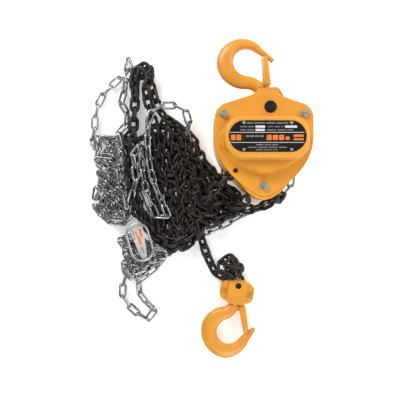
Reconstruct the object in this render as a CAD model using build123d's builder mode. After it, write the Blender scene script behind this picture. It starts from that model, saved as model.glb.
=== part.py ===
from build123d import *
from math import acos, cos, pi, radians, sin, sqrt, tan
import os

os.makedirs("parts", exist_ok=True)

# Frame: millimetres. The axle runs along Z through X = Y = 0. The hoist lies on the flat face of its
# hand wheel cover at Z 0, and its gear cover faces +Z. +Y points from the axle to the top hook.

# Layers of the body along the axle
COVER_WALL = 3.0
WHEEL_PLATE_Z = 72.0
SIDE_PLATE_T = 5.0
GEAR_PLATE_Z = 115.0
GEAR_PLATE_T = 6.0
GEAR_COVER_Z = GEAR_PLATE_Z + GEAR_PLATE_T
FLANGE_T = 3.0
BOSS_STEP_Z = 147.0
BOSS_TOP_Z = 168.0
CHAIN_Z = 96.0
HAND_CHAIN_Z = 28.0

# Load chain 7.1 x 21 and hand chain 5 x 25
LOAD_WIRE = 7.1
LOAD_PITCH = 21.0
LOAD_INNER = 21.8
LOAD_HALF_WIDTH = 8.25
HAND_WIRE = 5.0
HAND_PITCH = 25.0
HAND_INNER = 25.6
HAND_HALF_WIDTH = 6.25
LOAD_LINKS_PER_TURN = 8
HAND_LINKS_PER_TURN = 18
SHEAVE_RADIUS = LOAD_PITCH / 2 / tan(pi / LOAD_LINKS_PER_TURN)
WHEEL_RADIUS = HAND_PITCH / 2 / tan(pi / HAND_LINKS_PER_TURN)

# Fasteners and pins through the body: X, Y
STAYS = [(-78.5, 48.5), (78.5, 48.5), (0, -91)]
STAY_R = 5.0
TOP_PIN = (12, 62)
TOP_PIN_R = 8.0
ANCHOR_PIN = (-55, -61)
ANCHOR_PIN_R = 4.5
ROLLERS = [(-44.5, -20), (44.5, -20)]
ROLLER_R = 6.5
ROLLER_PIN_R = 3.0
GEAR_CENTRES = 40.5
RUNNING = 0.05

# Drive train
SHAFT_R = 8.0
THREAD_R = 10.0
SHEAVE_JOURNAL_R = 15.0
BEARING_R = 22.0
GEAR_MODULE = 1.5
PRESSURE_ANGLE = radians(25)
PINION_TEETH = 12
FIRST_GEAR_TEETH = 42
SECOND_PINION_TEETH = 14
LOAD_GEAR_TEETH = 40
HUB_BOSS_R = 17.0
RATCHET_TEETH = 24
RATCHET_TIP_R = 46.0
RATCHET_ROOT_R = 41.5
PAWL_PIVOT = (50, 28)
PAWL_ANGLES = [120, 300]

# Hooks, in the plane of each hook: the bowl's centre is the origin and y points to the pin
BOWL_R = 26.0
HOOK_T = 22.0
NECK_R = 11.0
COLLAR_R = 15.0
COLLAR_Y = (70.2, 80.0)
PIN_Y = 103.8
YOKE_T = 34.0
LATCH_PIVOT = (19, 56)
LATCH_END = (34, 6)
LATCH_PIN_R = 2.2

TOP_LEAN = radians(25)
TOP_HOOK = Plane(
    origin=(TOP_PIN[0] - PIN_Y * sin(TOP_LEAN), TOP_PIN[1] + PIN_Y * cos(TOP_LEAN), CHAIN_Z),
    x_dir=(cos(TOP_LEAN), sin(TOP_LEAN), 0),
    z_dir=(0, 0, -1),
)
BOTTOM_LEAN = radians(11)
BOTTOM_BOWL = (-62, -403, YOKE_T / 2)
BOTTOM_HOOK = Plane(
    origin=BOTTOM_BOWL,
    x_dir=(cos(BOTTOM_LEAN), -sin(BOTTOM_LEAN), 0),
    z_dir=(0, 0, 1),
)


def save(builder, name):
    """Label a finished sub-part and write it as one STEP file."""
    builder.part.label = name
    export_step(builder.part, f"parts/{name}.step")


def level(z):
    """The horizontal plane at height z."""
    return Plane.XY.offset(z)


def disc(radius, low, high, at=(0, 0), mode=Mode.ADD):
    """A round step of the current part between two heights."""
    with BuildSketch(level(low)) as section:
        with Locations(at):
            Circle(radius)
    extrude(section.sketch, amount=high - low, mode=mode)


def ring(outer, inner, low, high, at=(0, 0)):
    """A plain ring of the current part between two heights."""
    with BuildSketch(level(low)) as section:
        with Locations(at):
            Circle(outer)
            Circle(inner, mode=Mode.SUBTRACT)
    extrude(section.sketch, amount=high - low)


def closed_outline(points, radius):
    """A rounded polygon, as a sketch on XY."""
    with BuildSketch(mode=Mode.PRIVATE) as outline:
        with BuildLine():
            Polyline(*points, close=True)
        make_face()
        fillet(outline.vertices(), radius)
    return outline.sketch


# ---------------------------------------------------------------- body shells

def body_points(tip):
    """The body's outline: rounded tip below, straight sides, and a peak over the top pin."""
    right = [
        (0, tip), (15, tip + 5), (31, tip + 15), (48, -83.5), (63, -69.5), (76, -54), (86, -37),
        (92.5, -19), (95.5, 0), (95.5, 46), (91, 58), (81, 67),
    ]
    left = [(-x, y) for x, y in reversed(right) if x > 0]
    return right + [(33, 83), (23, 94), (2, 94), (-22, 86)] + left


COVER_OUTLINE = closed_outline(body_points(-112), 12)
PLATE_OUTLINE = closed_outline(body_points(-119), 12)

LOWER_BOSS = closed_outline(
    [
        (-64, 46), (-88, 8), (-89, -18), (-68, -42), (-36, -60), (-9, -71),
        (9, -71), (36, -60), (68, -42), (89, -18), (88, 8), (64, 46),
    ],
    16,
)
UPPER_BOSS = closed_outline([(-81, 39), (-81, -43), (81, -43), (81, 39)], 36)
LOWER_TAPER = 14
UPPER_TAPER = 10
BUSH_BOSSES = [(-GEAR_CENTRES, 0), (GEAR_CENTRES, 0), (0, 0)]
BUSH_LOW = 148.0
BUSH_HIGH = 156.5

with BuildPart() as gear_cover:
    with BuildSketch(level(GEAR_COVER_Z)):
        add(COVER_OUTLINE)
    extrude(amount=FLANGE_T)
    fillet(gear_cover.faces().sort_by(Axis.Z)[-1].edges(), 1.5)
    with BuildSketch(level(GEAR_COVER_Z + FLANGE_T)):
        add(LOWER_BOSS)
    extrude(amount=BOSS_STEP_Z - GEAR_COVER_Z - FLANGE_T, taper=LOWER_TAPER)
    with BuildSketch(level(BOSS_STEP_Z)):
        add(UPPER_BOSS)
    extrude(amount=BOSS_TOP_Z - BOSS_STEP_Z, taper=UPPER_TAPER)
    fillet(gear_cover.faces().sort_by(Axis.Z)[-1].edges(), 5)
    with BuildSketch(level(GEAR_COVER_Z)):
        offset(LOWER_BOSS, -COVER_WALL)
    extrude(amount=BOSS_STEP_Z - GEAR_COVER_Z - COVER_WALL, taper=LOWER_TAPER, mode=Mode.SUBTRACT)
    with BuildSketch(level(BOSS_STEP_Z - COVER_WALL)):
        offset(UPPER_BOSS, -COVER_WALL)
    extrude(amount=BOSS_TOP_Z - BOSS_STEP_Z, taper=UPPER_TAPER, mode=Mode.SUBTRACT)
    for spot in BUSH_BOSSES:
        disc(10.5, BUSH_LOW, BOSS_TOP_Z - COVER_WALL + 0.5, spot)
        disc(7.5 if spot != (0, 0) else 8.5, BUSH_LOW, BUSH_HIGH, spot, Mode.SUBTRACT)
    for spot in STAYS:
        disc(STAY_R, GEAR_COVER_Z, GEAR_COVER_Z + FLANGE_T, spot, Mode.SUBTRACT)
    disc(10.5, GEAR_COVER_Z, GEAR_COVER_Z + FLANGE_T, TOP_PIN, Mode.SUBTRACT)
    disc(5.75, GEAR_COVER_Z, GEAR_COVER_Z + FLANGE_T, ANCHOR_PIN, Mode.SUBTRACT)
save(gear_cover, "gear_cover")

NAME_PLATE_SIZE = (142, 57.6)
NAME_PLATE_T = 0.8
NAME_PLATE_Y = -1.0
RIVET_SPOTS = [(x, y + NAME_PLATE_Y) for x in (-43.5, 43.5) for y in (-24.5, 24.5)]

with BuildPart() as name_plate:
    with BuildSketch(level(BOSS_TOP_Z)):
        with Locations((0, NAME_PLATE_Y)):
            SlotOverall(*NAME_PLATE_SIZE)
        with Locations(*RIVET_SPOTS):
            Circle(1.5, mode=Mode.SUBTRACT)
    extrude(amount=NAME_PLATE_T)
save(name_plate, "name_plate")

with BuildPart() as name_plate_rivets:
    for spot in RIVET_SPOTS:
        disc(1.5, BOSS_TOP_Z, BOSS_TOP_Z + NAME_PLATE_T, spot)
        disc(3.0, BOSS_TOP_Z + NAME_PLATE_T, BOSS_TOP_Z + NAME_PLATE_T + 1.4, spot)
    fillet(name_plate_rivets.faces().group_by(Axis.Z)[-1].edges(), 1.0)
save(name_plate_rivets, "name_plate_rivets")

CUP_R = 12.5
CUP_TOP = 14.0
CUP_FLOOR = 9.0
SLOT_X = WHEEL_RADIUS

with BuildPart() as wheel_cover:
    with BuildSketch():
        add(PLATE_OUTLINE)
    extrude(amount=WHEEL_PLATE_Z)
    fillet(wheel_cover.faces().sort_by(Axis.Z)[0].edges(), 5)
    with BuildSketch(level(COVER_WALL)):
        offset(PLATE_OUTLINE, -COVER_WALL)
    extrude(amount=WHEEL_PLATE_Z, mode=Mode.SUBTRACT)
    for spot in STAYS:
        disc(CUP_R, COVER_WALL, CUP_TOP, spot)
        disc(10.0, 0, CUP_FLOOR, spot, Mode.SUBTRACT)
        disc(STAY_R, CUP_FLOOR, CUP_TOP, spot, Mode.SUBTRACT)
    for side in (-1, 1):
        with BuildSketch(level(HAND_CHAIN_Z - 13)):
            with Locations((side * SLOT_X, -68)):
                Rectangle(26, 54)
        extrude(amount=26, mode=Mode.SUBTRACT)
    with BuildSketch(level(0)):
        add(PLATE_OUTLINE)
    extrude(amount=WHEEL_PLATE_Z, mode=Mode.INTERSECT)
save(wheel_cover, "wheel_cover")


def side_plate(low, thickness, holes):
    """A flat plate of the body's outline, drilled with (radius, spots) pairs."""
    with BuildSketch(level(low)) as section:
        add(PLATE_OUTLINE)
        for radius, spots in holes:
            with Locations(*spots):
                Circle(radius, mode=Mode.SUBTRACT)
    extrude(section.sketch, amount=thickness)


COMMON_HOLES = [
    (BEARING_R, [(0, 0)]),
    (STAY_R, STAYS),
    (TOP_PIN_R, [TOP_PIN]),
    (ANCHOR_PIN_R, [ANCHOR_PIN]),
    (ROLLER_PIN_R, ROLLERS),
]


def turned(point, angle):
    """A point turned about the axle by an angle in degrees."""
    c, s = cos(radians(angle)), sin(radians(angle))
    return (point[0] * c - point[1] * s, point[0] * s + point[1] * c)


PAWL_PIN_R = 4.0
PAWL_PINS = [turned(PAWL_PIVOT, angle) for angle in PAWL_ANGLES]
PLATE_BUSH_R = 7.0

with BuildPart() as side_plate_wheel:
    side_plate(WHEEL_PLATE_Z, SIDE_PLATE_T, COMMON_HOLES + [(PAWL_PIN_R, PAWL_PINS)])
save(side_plate_wheel, "side_plate_wheel")

GEAR_SPOTS = [(-GEAR_CENTRES, 0), (GEAR_CENTRES, 0)]
with BuildPart() as side_plate_gear:
    side_plate(GEAR_PLATE_Z, GEAR_PLATE_T, COMMON_HOLES + [(PLATE_BUSH_R, GEAR_SPOTS)])
save(side_plate_gear, "side_plate_gear")

# ---------------------------------------------------------------- fasteners of the body

NUT_FLAT = 13.5
WASHER_R = 7.8
WASHER_T = 1.5
NUT_T = 6.5
NUT_TOP_Z = GEAR_COVER_Z + FLANGE_T + WASHER_T + NUT_T

with BuildPart() as stay_bolts:
    for spot in STAYS:
        disc(STAY_R, 2.0, NUT_TOP_Z + 2, spot)
        disc(STAY_R + 3, WHEEL_PLATE_Z + SIDE_PLATE_T, GEAR_PLATE_Z, spot)
    chamfer(stay_bolts.faces().group_by(Axis.Z)[-1].edges(), 0.8)
save(stay_bolts, "stay_bolts")


def hex_nut(low, height, across, bore, at):
    """A hexagonal nut between two heights."""
    with BuildSketch(level(low)) as section:
        with Locations(at):
            RegularPolygon(across / 2, 6, major_radius=False)
            Circle(bore, mode=Mode.SUBTRACT)
    extrude(section.sketch, amount=height)


with BuildPart() as stay_nuts:
    for spot in STAYS:
        hex_nut(NUT_TOP_Z - NUT_T, NUT_T, NUT_FLAT, STAY_R, spot)
        hex_nut(CUP_FLOOR - WASHER_T - 5, 5, NUT_FLAT, STAY_R, spot)
        ring(WASHER_R, STAY_R, GEAR_COVER_Z + FLANGE_T, NUT_TOP_Z - NUT_T, spot)
        ring(WASHER_R, STAY_R, CUP_FLOOR - WASHER_T, CUP_FLOOR, spot)
save(stay_nuts, "stay_nuts")

with BuildPart() as top_pin:
    disc(TOP_PIN_R, WHEEL_PLATE_Z, GEAR_COVER_Z, TOP_PIN)
save(top_pin, "top_pin")

with BuildPart() as top_pin_plug:
    disc(10.5, GEAR_COVER_Z, GEAR_COVER_Z + FLANGE_T, TOP_PIN)
    disc(11.8, GEAR_COVER_Z + FLANGE_T, GEAR_COVER_Z + FLANGE_T + 2, TOP_PIN)
    fillet(top_pin_plug.faces().sort_by(Axis.Z)[-1].edges(), 1.2)
save(top_pin_plug, "top_pin_plug")

with BuildPart() as chain_anchor_pin:
    disc(ANCHOR_PIN_R, WHEEL_PLATE_Z, GEAR_COVER_Z, ANCHOR_PIN)
save(chain_anchor_pin, "chain_anchor_pin")

# ---------------------------------------------------------------- drive shaft and brake

PINION_Z = (134.4, 145.6)
SHAFT_END_Z = 4.4
HUB_Z = (55.0, 62.0)
NUT_Z = (5.0, 13.0)
HUB_BOSS_Z = 44.3


def involute(angle):
    """The involute function of a pressure angle."""
    return tan(angle) - angle


def gear_outline(teeth, backlash=0.3, turn=0.0):
    """A spur gear's outline: involute flanks as arcs through root, middle and tip."""
    pitch_r = GEAR_MODULE * teeth / 2
    base_r = pitch_r * cos(PRESSURE_ANGLE)
    tip_r = pitch_r + 0.8 * GEAR_MODULE
    root_r = pitch_r - 1.05 * GEAR_MODULE
    start_r = max(base_r, root_r)
    half_at_pitch = pi / 2 / teeth - backlash / 2 / pitch_r

    def flank(radius):
        return half_at_pitch + involute(PRESSURE_ANGLE) - involute(acos(min(1, base_r / radius)))

    def at(radius, angle):
        return (radius * cos(angle), radius * sin(angle))

    with BuildSketch(mode=Mode.PRIVATE) as outline:
        with BuildLine():
            for tooth in range(teeth):
                middle = turn + 2 * pi * tooth / teeth
                ends = []
                for side in (-1, 1):
                    radii = [start_r, (start_r + tip_r) / 2, tip_r]
                    points = [at(r, middle + side * flank(r)) for r in radii]
                    ThreePointArc(*points)
                    ends.append(points)
                    if start_r > root_r + 0.01:
                        Line(at(root_r, middle + side * flank(start_r)), points[0])
                ThreePointArc(ends[0][2], at(tip_r, middle), ends[1][2])
                gap = middle + pi / teeth
                root_from = at(root_r, middle + flank(start_r))
                root_to = at(root_r, middle + 2 * pi / teeth - flank(start_r))
                ThreePointArc(root_from, at(root_r, gap), root_to)
        make_face()
    return outline.sketch


with BuildPart() as drive_shaft:
    disc(6.0, SHAFT_END_Z, NUT_Z[1])
    disc(THREAD_R, NUT_Z[1], HUB_Z[1])
    disc(SHAFT_R, HUB_Z[1], PINION_Z[0] - 1.4)
    disc(7.4, PINION_Z[0] - 1.4, PINION_Z[0])
    with BuildSketch(level(PINION_Z[0])):
        add(gear_outline(PINION_TEETH))
    extrude(amount=PINION_Z[1] - PINION_Z[0])
    disc(6.0, PINION_Z[1], BUSH_HIGH - 0.5)
    with BuildSketch(Plane.YZ.offset(-15)):
        with Locations((0, 9.0)):
            Circle(1.3)
    extrude(amount=30, mode=Mode.SUBTRACT)
save(drive_shaft, "drive_shaft")

with BuildPart() as castle_nut:
    hex_nut(NUT_Z[0], NUT_Z[1] - NUT_Z[0] - 0.6, 19, 6.0, (0, 0))
    with BuildSketch(Plane.YZ.offset(-15)):
        with Locations((0, 7.6)):
            Rectangle(2.8, 5.6)
    extrude(amount=30, mode=Mode.SUBTRACT)
save(castle_nut, "castle_nut")

with BuildPart() as split_pin:
    with BuildSketch(Plane.YZ.offset(-11)):
        with Locations((0, 9.0)):
            Circle(1.2)
    extrude(amount=22)
    with BuildSketch(Plane.YZ.offset(-13)):
        with Locations((0, 9.0)):
            Circle(1.35)
    extrude(amount=2)
save(split_pin, "split_pin")

with BuildPart() as friction_hub:
    ring(40, THREAD_R, *HUB_Z)
    ring(HUB_BOSS_R, THREAD_R, HUB_BOSS_Z, HUB_Z[0])
save(friction_hub, "friction_hub")

DISC_GAP = 0.05
for name, low, high in (("friction_disc_outer", 44.0, 47.0), ("friction_disc_inner", 52.0, 55.0)):
    with BuildPart() as friction_disc:
        ring(38, HUB_BOSS_R + 0.1, low, high)
    save(friction_disc, name)


def ratchet_points():
    """Saw teeth: each rises from root to tip along the turn, then drops straight."""
    step = 2 * pi / RATCHET_TEETH
    points = []
    for tooth in range(RATCHET_TEETH):
        start = tooth * step
        points.append((RATCHET_ROOT_R * cos(start), RATCHET_ROOT_R * sin(start)))
        points.append((RATCHET_TIP_R * cos(start + step), RATCHET_TIP_R * sin(start + step)))
    return points


with BuildPart() as ratchet_disc:
    with BuildSketch(level(47 + DISC_GAP)):
        with BuildLine():
            Polyline(*ratchet_points(), close=True)
        make_face()
        Circle(HUB_BOSS_R + RUNNING, mode=Mode.SUBTRACT)
    extrude(amount=5 - 2 * DISC_GAP)
save(ratchet_disc, "ratchet_disc")

PAWL_POINTS = [(42.9, 0.6), (46.8, 0.6), (54.6, 22), (54, 30), (46, 30), (45.6, 17)]
PAWL_Z = (47.3, 51.7)

for name, angle in zip(("pawl_upper", "pawl_lower"), PAWL_ANGLES):
    with BuildPart() as pawl:
        with BuildSketch(level(PAWL_Z[0])):
            with BuildLine():
                Polyline(*[turned(point, angle) for point in PAWL_POINTS], close=True)
            make_face()
            with Locations(turned(PAWL_PIVOT, angle)):
                Circle(7.5)
                Circle(PAWL_PIN_R + RUNNING, mode=Mode.SUBTRACT)
        extrude(amount=PAWL_Z[1] - PAWL_Z[0])
    save(pawl, name)

with BuildPart() as pawl_pins:
    for spot in PAWL_PINS:
        disc(PAWL_PIN_R, 45.0, WHEEL_PLATE_Z + SIDE_PLATE_T, spot)
        disc(6.5, 45.0, PAWL_Z[0] - 0.3, spot)
        disc(6.5, 60.0, WHEEL_PLATE_Z, spot)
save(pawl_pins, "pawl_pins")

PAWL_SPRING_R = 5.6
with BuildPart() as pawl_springs:
    for spot in PAWL_PINS:
        with Locations((spot[0], spot[1], 53.2)):
            for turn in range(4):
                with Locations((0, 0, 1.5 * turn)):
                    Torus(PAWL_SPRING_R, 0.65)
save(pawl_springs, "pawl_springs")

HAND_RIM_R = 75.0
HAND_RIM_Z = (16.0, 40.0)
HAND_POCKETS = 9

with BuildPart() as hand_wheel:
    disc(20, NUT_Z[1] + 1, 44)
    disc(40, 38, 44)
    disc(62, 24, 32)
    ring(HAND_RIM_R, 56, *HAND_RIM_Z)
    with BuildSketch(level(24)):
        with PolarLocations(38, 6):
            Circle(9)
    extrude(amount=8, mode=Mode.SUBTRACT)
    disc(THREAD_R + RUNNING, 0, 50, mode=Mode.SUBTRACT)
    with BuildSketch(level(HAND_CHAIN_Z - 3.1)):
        Circle(90)
        Circle(61.6, mode=Mode.SUBTRACT)
    extrude(amount=6.2, mode=Mode.SUBTRACT)
    for pocket in range(HAND_POCKETS):
        out = turned((66.3, 0), 360 / HAND_POCKETS * pocket)
        along = turned((0, 1), 360 / HAND_POCKETS * pocket)
        floor = Plane(
            origin=(*out, HAND_CHAIN_Z), x_dir=(*along, 0), z_dir=(out[0], out[1], 0)
        )
        with BuildSketch(floor):
            SlotOverall(37.2, 18.6)
        extrude(amount=20, mode=Mode.SUBTRACT)
save(hand_wheel, "hand_wheel")

# ---------------------------------------------------------------- load sheave and gears

LOAD_GEAR_Z = (122.0, 132.0)
SEAT_R = 13.0
TOOTH_R = 31.5
CHEEK_R = 34.0
POCKET_HALF = 12.4

with BuildPart() as load_sheave:
    disc(SHEAVE_JOURNAL_R, 70.5, 121.4)
    disc(SEAT_R, 121.4, 133.8)
    disc(CHEEK_R, CHAIN_Z - 16.5, CHAIN_Z + 16.5)
    ring_low, ring_high = CHAIN_Z - POCKET_HALF, CHAIN_Z + POCKET_HALF
    with BuildSketch(level(ring_low)):
        Circle(CHEEK_R + 5)
        Circle(TOOTH_R, mode=Mode.SUBTRACT)
    extrude(amount=ring_high - ring_low, mode=Mode.SUBTRACT)
    with BuildSketch(level(CHAIN_Z - 4.1)):
        Circle(CHEEK_R + 5)
        Circle(13.0, mode=Mode.SUBTRACT)
    extrude(amount=8.2, mode=Mode.SUBTRACT)
    for pocket in range(LOAD_LINKS_PER_TURN // 2):
        out = turned((21.5, 0), 90 * pocket)
        along = turned((0, 1), 90 * pocket)
        floor = Plane(origin=(*out, CHAIN_Z), x_dir=(*along, 0), z_dir=(out[0], out[1], 0))
        with BuildSketch(floor):
            SlotOverall(37.4, 2 * POCKET_HALF)
        extrude(amount=20, mode=Mode.SUBTRACT)
    disc(SHAFT_R + RUNNING, 60, 140, mode=Mode.SUBTRACT)
    with BuildSketch(level(132.2)):
        Circle(20)
        Circle(12, mode=Mode.SUBTRACT)
    extrude(amount=1.2, mode=Mode.SUBTRACT)
save(load_sheave, "load_sheave")

with BuildPart() as load_gear:
    with BuildSketch(level(LOAD_GEAR_Z[0])):
        add(gear_outline(LOAD_GEAR_TEETH))
        Circle(SEAT_R, mode=Mode.SUBTRACT)
    extrude(amount=LOAD_GEAR_Z[1] - LOAD_GEAR_Z[0])
save(load_gear, "load_gear")

with BuildPart() as snap_ring:
    with BuildSketch(level(132.2)):
        Circle(15.4)
        Circle(12.0, mode=Mode.SUBTRACT)
        with Locations((14, 0)):
            Rectangle(8, 5, mode=Mode.SUBTRACT)
    extrude(amount=1.2)
save(snap_ring, "snap_ring")

for name, side in (("intermediate_gear_left", -1), ("intermediate_gear_right", 1)):
    centre = (side * GEAR_CENTRES, 0)
    with BuildPart() as intermediate_gear:
        disc(5.0, 115.2, 155.5, centre)
        with BuildSketch(level(GEAR_COVER_Z + 0.6)):
            with Locations(centre):
                add(gear_outline(SECOND_PINION_TEETH, turn=pi / SECOND_PINION_TEETH))
        extrude(amount=13.4)
        with BuildSketch(level(135.0)):
            with Locations(centre):
                add(gear_outline(FIRST_GEAR_TEETH, turn=pi / FIRST_GEAR_TEETH))
                with PolarLocations(21, 5):
                    Circle(5, mode=Mode.SUBTRACT)
        extrude(amount=10.0)
    save(intermediate_gear, name)

with BuildPart() as gear_bushes:
    for spot in GEAR_SPOTS:
        ring(PLATE_BUSH_R, 5.0 + RUNNING, GEAR_PLATE_Z, GEAR_COVER_Z, spot)
        ring(7.5, 5.0 + RUNNING, BUSH_LOW, BUSH_HIGH, spot)
    ring(8.5, 6.0 + RUNNING, BUSH_LOW, BUSH_HIGH)
save(gear_bushes, "gear_bushes")

BALL_R = 2.4
BALL_CIRCLE = SHEAVE_JOURNAL_R + BALL_R + 0.1
BALLS = 16
BEARING_SPANS = [(71.0, 79.0), (113.0, 121.0)]

with BuildPart() as sheave_bearings:
    for low, high in BEARING_SPANS:
        ring(BEARING_R, BALL_CIRCLE + 1.2, low, high)
        with Locations((0, 0, (low + high) / 2)):
            Torus(BALL_CIRCLE, BALL_R + 0.1, mode=Mode.SUBTRACT)
    for low, high in BEARING_SPANS:
        with Locations((0, 0, (low + high) / 2)):
            with PolarLocations(BALL_CIRCLE, BALLS):
                Sphere(BALL_R)
save(sheave_bearings, "sheave_bearings")

GAP_LOW = WHEEL_PLATE_Z + SIDE_PLATE_T

with BuildPart() as chain_guide:
    with BuildSketch(level(GAP_LOW)):
        with Locations((0, -53)):
            Rectangle(22, 42)
        Circle(CHEEK_R + 1.5, mode=Mode.SUBTRACT)
    extrude(amount=GEAR_PLATE_Z - GAP_LOW)
    with BuildSketch(level(CHAIN_Z - 3.2)):
        with Locations((0, -26)):
            Rectangle(12, 24)
        Circle(14.2, mode=Mode.SUBTRACT)
    extrude(amount=6.4)
save(chain_guide, "chain_guide")

for name, spot in zip(("guide_roller_left", "guide_roller_right"), ROLLERS):
    with BuildPart() as guide_roller:
        ring(ROLLER_R, ROLLER_PIN_R + RUNNING, GAP_LOW + 0.5, GEAR_PLATE_Z - 0.5, spot)
    save(guide_roller, name)

with BuildPart() as guide_roller_pins:
    for spot in ROLLERS:
        disc(ROLLER_PIN_R, WHEEL_PLATE_Z, GEAR_COVER_Z, spot)
save(guide_roller_pins, "guide_roller_pins")

# ---------------------------------------------------------------- links that the hoist holds


def link(centre, along, across, wire, inner, half_width):
    """One closed chain link: its long axis is along, its plane holds along and across."""
    straight = inner / 2 + wire / 2 - half_width
    normal = Vector(*along).cross(Vector(*across))
    plane = Plane(origin=centre, x_dir=along, z_dir=normal)
    with BuildLine(plane) as loop:
        Line((-straight, half_width), (straight, half_width))
        ThreePointArc((straight, half_width), (straight + half_width, 0), (straight, -half_width))
        Line((straight, -half_width), (-straight, -half_width))
        ThreePointArc((-straight, -half_width), (-straight - half_width, 0), (-straight, half_width))
    with BuildSketch(Plane(origin=loop.line @ 0, z_dir=loop.line % 0)) as section:
        Circle(wire / 2)
    sweep(section.sketch, path=loop.line)


def wheel_links(radius, pitch, per_turn, falls, z, first_flat, size):
    """Links over the upper half of a wheel and down both falls, each turned against its neighbour."""
    half = per_turn // 2
    for index in range(-falls, half + falls + 1):
        if index < 0:
            centre, angle = (radius, index * pitch), 0
        elif index > half:
            centre, angle = (-radius, -(index - half) * pitch), 180
        else:
            angle = 360 / per_turn * index
            centre = turned((radius, 0), angle)
        along = turned((0, 1), angle)
        flat = (index % 2 == 0) == first_flat
        across = (0, 0, 1) if flat else (*turned((1, 0), angle), 0)
        link((*centre, z), (*along, 0), across, *size)


LOAD_SIZE = (LOAD_WIRE, LOAD_INNER, LOAD_HALF_WIDTH)
HAND_SIZE = (HAND_WIRE, HAND_INNER, HAND_HALF_WIDTH)
LOAD_FALL_LINKS = 4
HAND_FALL_LINKS = 2
ANCHOR_DIR = (-0.7826, -0.6225)
PIN_TO_LINK = 6.2


def stepped(start, direction, distance):
    """A point some way from another along a flat direction."""
    return (start[0] + direction[0] * distance, start[1] + direction[1] * distance)


HOOK_AXIS = (sin(BOTTOM_LEAN), cos(BOTTOM_LEAN))
CHAIN_PIN = stepped(BOTTOM_BOWL, HOOK_AXIS, PIN_Y)

with BuildPart() as load_chain_links:
    wheel_links(
        SHEAVE_RADIUS, LOAD_PITCH, LOAD_LINKS_PER_TURN, LOAD_FALL_LINKS, CHAIN_Z, True, LOAD_SIZE
    )
    anchor_cross = (ANCHOR_DIR[1], -ANCHOR_DIR[0], 0)
    first = stepped(ANCHOR_PIN, ANCHOR_DIR, PIN_TO_LINK)
    second = stepped(first, ANCHOR_DIR, LOAD_PITCH)
    link((*first, CHAIN_Z), (*ANCHOR_DIR, 0), anchor_cross, *LOAD_SIZE)
    link((*second, CHAIN_Z), (*ANCHOR_DIR, 0), (0, 0, 1), *LOAD_SIZE)
    hook_link = stepped(CHAIN_PIN, HOOK_AXIS, PIN_TO_LINK)
    hook_cross = (HOOK_AXIS[1], -HOOK_AXIS[0], 0)
    link((*hook_link, BOTTOM_BOWL[2]), (*HOOK_AXIS, 0), hook_cross, *LOAD_SIZE)
save(load_chain_links, "load_chain_links")

with BuildPart() as hand_chain_links:
    wheel_links(
        WHEEL_RADIUS, HAND_PITCH, HAND_LINKS_PER_TURN, HAND_FALL_LINKS, HAND_CHAIN_Z, True, HAND_SIZE
    )
save(hand_chain_links, "hand_chain_links")

# ---------------------------------------------------------------- hooks


def shifted(plane, height):
    """The hook's plane, moved along its own normal."""
    return plane.offset(height)


def turned_section(plane, y_low, y_high, radius):
    """A round step about the hook's own axis, between two places on it."""
    start = plane.from_local_coords((0, y_low, 0))
    with BuildSketch(Plane(origin=start, x_dir=plane.z_dir, z_dir=plane.y_dir)) as section:
        Circle(radius)
    extrude(section.sketch, amount=y_high - y_low)


# Where the closed latch comes to rest against the inside of the tip
LATCH_SEAT = (37.6, 7.6)


def bowl_point(angle):
    """A point of the bowl, at an angle in degrees."""
    return (BOWL_R * cos(radians(angle)), BOWL_R * sin(radians(angle)))


# Outer edge as end points and the point between them, then the tip; the upper hook is the slimmer
HOOK_BACKS = {
    "top": [
        ((-NECK_R, 60), (-15, 54), (-24, 48)),
        ((-24, 48), (-47, 30), (-58.5, 2)),
        ((-58.5, 2), (-46, -36), (-14, -50)),
        ((-14, -50), (20, -40.5), (39.5, -10)),
    ],
    "bottom": [
        ((-NECK_R, 60), (-16, 54.5), (-24, 50.5)),
        ((-24, 50.5), (-49, 33), (-60.5, 5)),
        ((-60.5, 5), (-42, -41), (4, -57)),
        ((4, -57), (34, -37), (46, -11)),
    ],
}
HOOK_TIPS = {
    "top": ((51, 17), (50.5, 23), (45.5, 22)),
    "bottom": ((56, 15), (55, 21), (50, 20.5)),
}


def hook_profile(side):
    """Neck, back, bowl and tip as arcs; the bowl is a true circle about the origin."""
    back, tip = HOOK_BACKS[side], HOOK_TIPS[side]
    with BuildLine() as profile:
        Line((-NECK_R, 62), (-NECK_R, 60))
        for arc in back:
            ThreePointArc(*arc)
        Line(back[-1][2], tip[0])
        ThreePointArc(*tip)
        Line(tip[2], LATCH_SEAT)
        Line(LATCH_SEAT, (34, 4))
        Line((34, 4), bowl_point(-25))
        CenterArc((0, 0), BOWL_R, -25, -180)
        ThreePointArc(bowl_point(155), (-17.5, 20.5), (-9, 27))
        ThreePointArc((-9, 27), (3.5, 38.5), (9.5, 52))
        Line((9.5, 52), (NECK_R, 60))
        Line((NECK_R, 60), (NECK_R, 62))
        Line((NECK_R, 62), (-NECK_R, 62))
    return profile.line


def build_hook(plane, side):
    """A forged hook with an ear for the latch and a collar that turns in the yoke."""
    with BuildPart() as hook:
        with BuildSketch(shifted(plane, -HOOK_T / 2)):
            make_face(hook_profile(side).edges())
        extrude(amount=HOOK_T)
        fillet(hook.faces().filter_by(Axis.Z).edges(), 1.5)
        turned_section(plane, 58, COLLAR_Y[0], NECK_R)
        turned_section(plane, *COLLAR_Y, COLLAR_R)
        with BuildSketch(shifted(plane, -6)):
            with BuildLine():
                Polyline((4, 48), (LATCH_PIVOT[0], 51.5), (LATCH_PIVOT[0], 60.5), (4, 62), close=True)
            make_face()
            with Locations(LATCH_PIVOT):
                Circle(4.5)
        extrude(amount=12)
        with BuildSketch(shifted(plane, -6)):
            with Locations(LATCH_PIVOT):
                Circle(LATCH_PIN_R)
        extrude(amount=12, mode=Mode.SUBTRACT)
    save(hook, f"{side}_hook")


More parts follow.
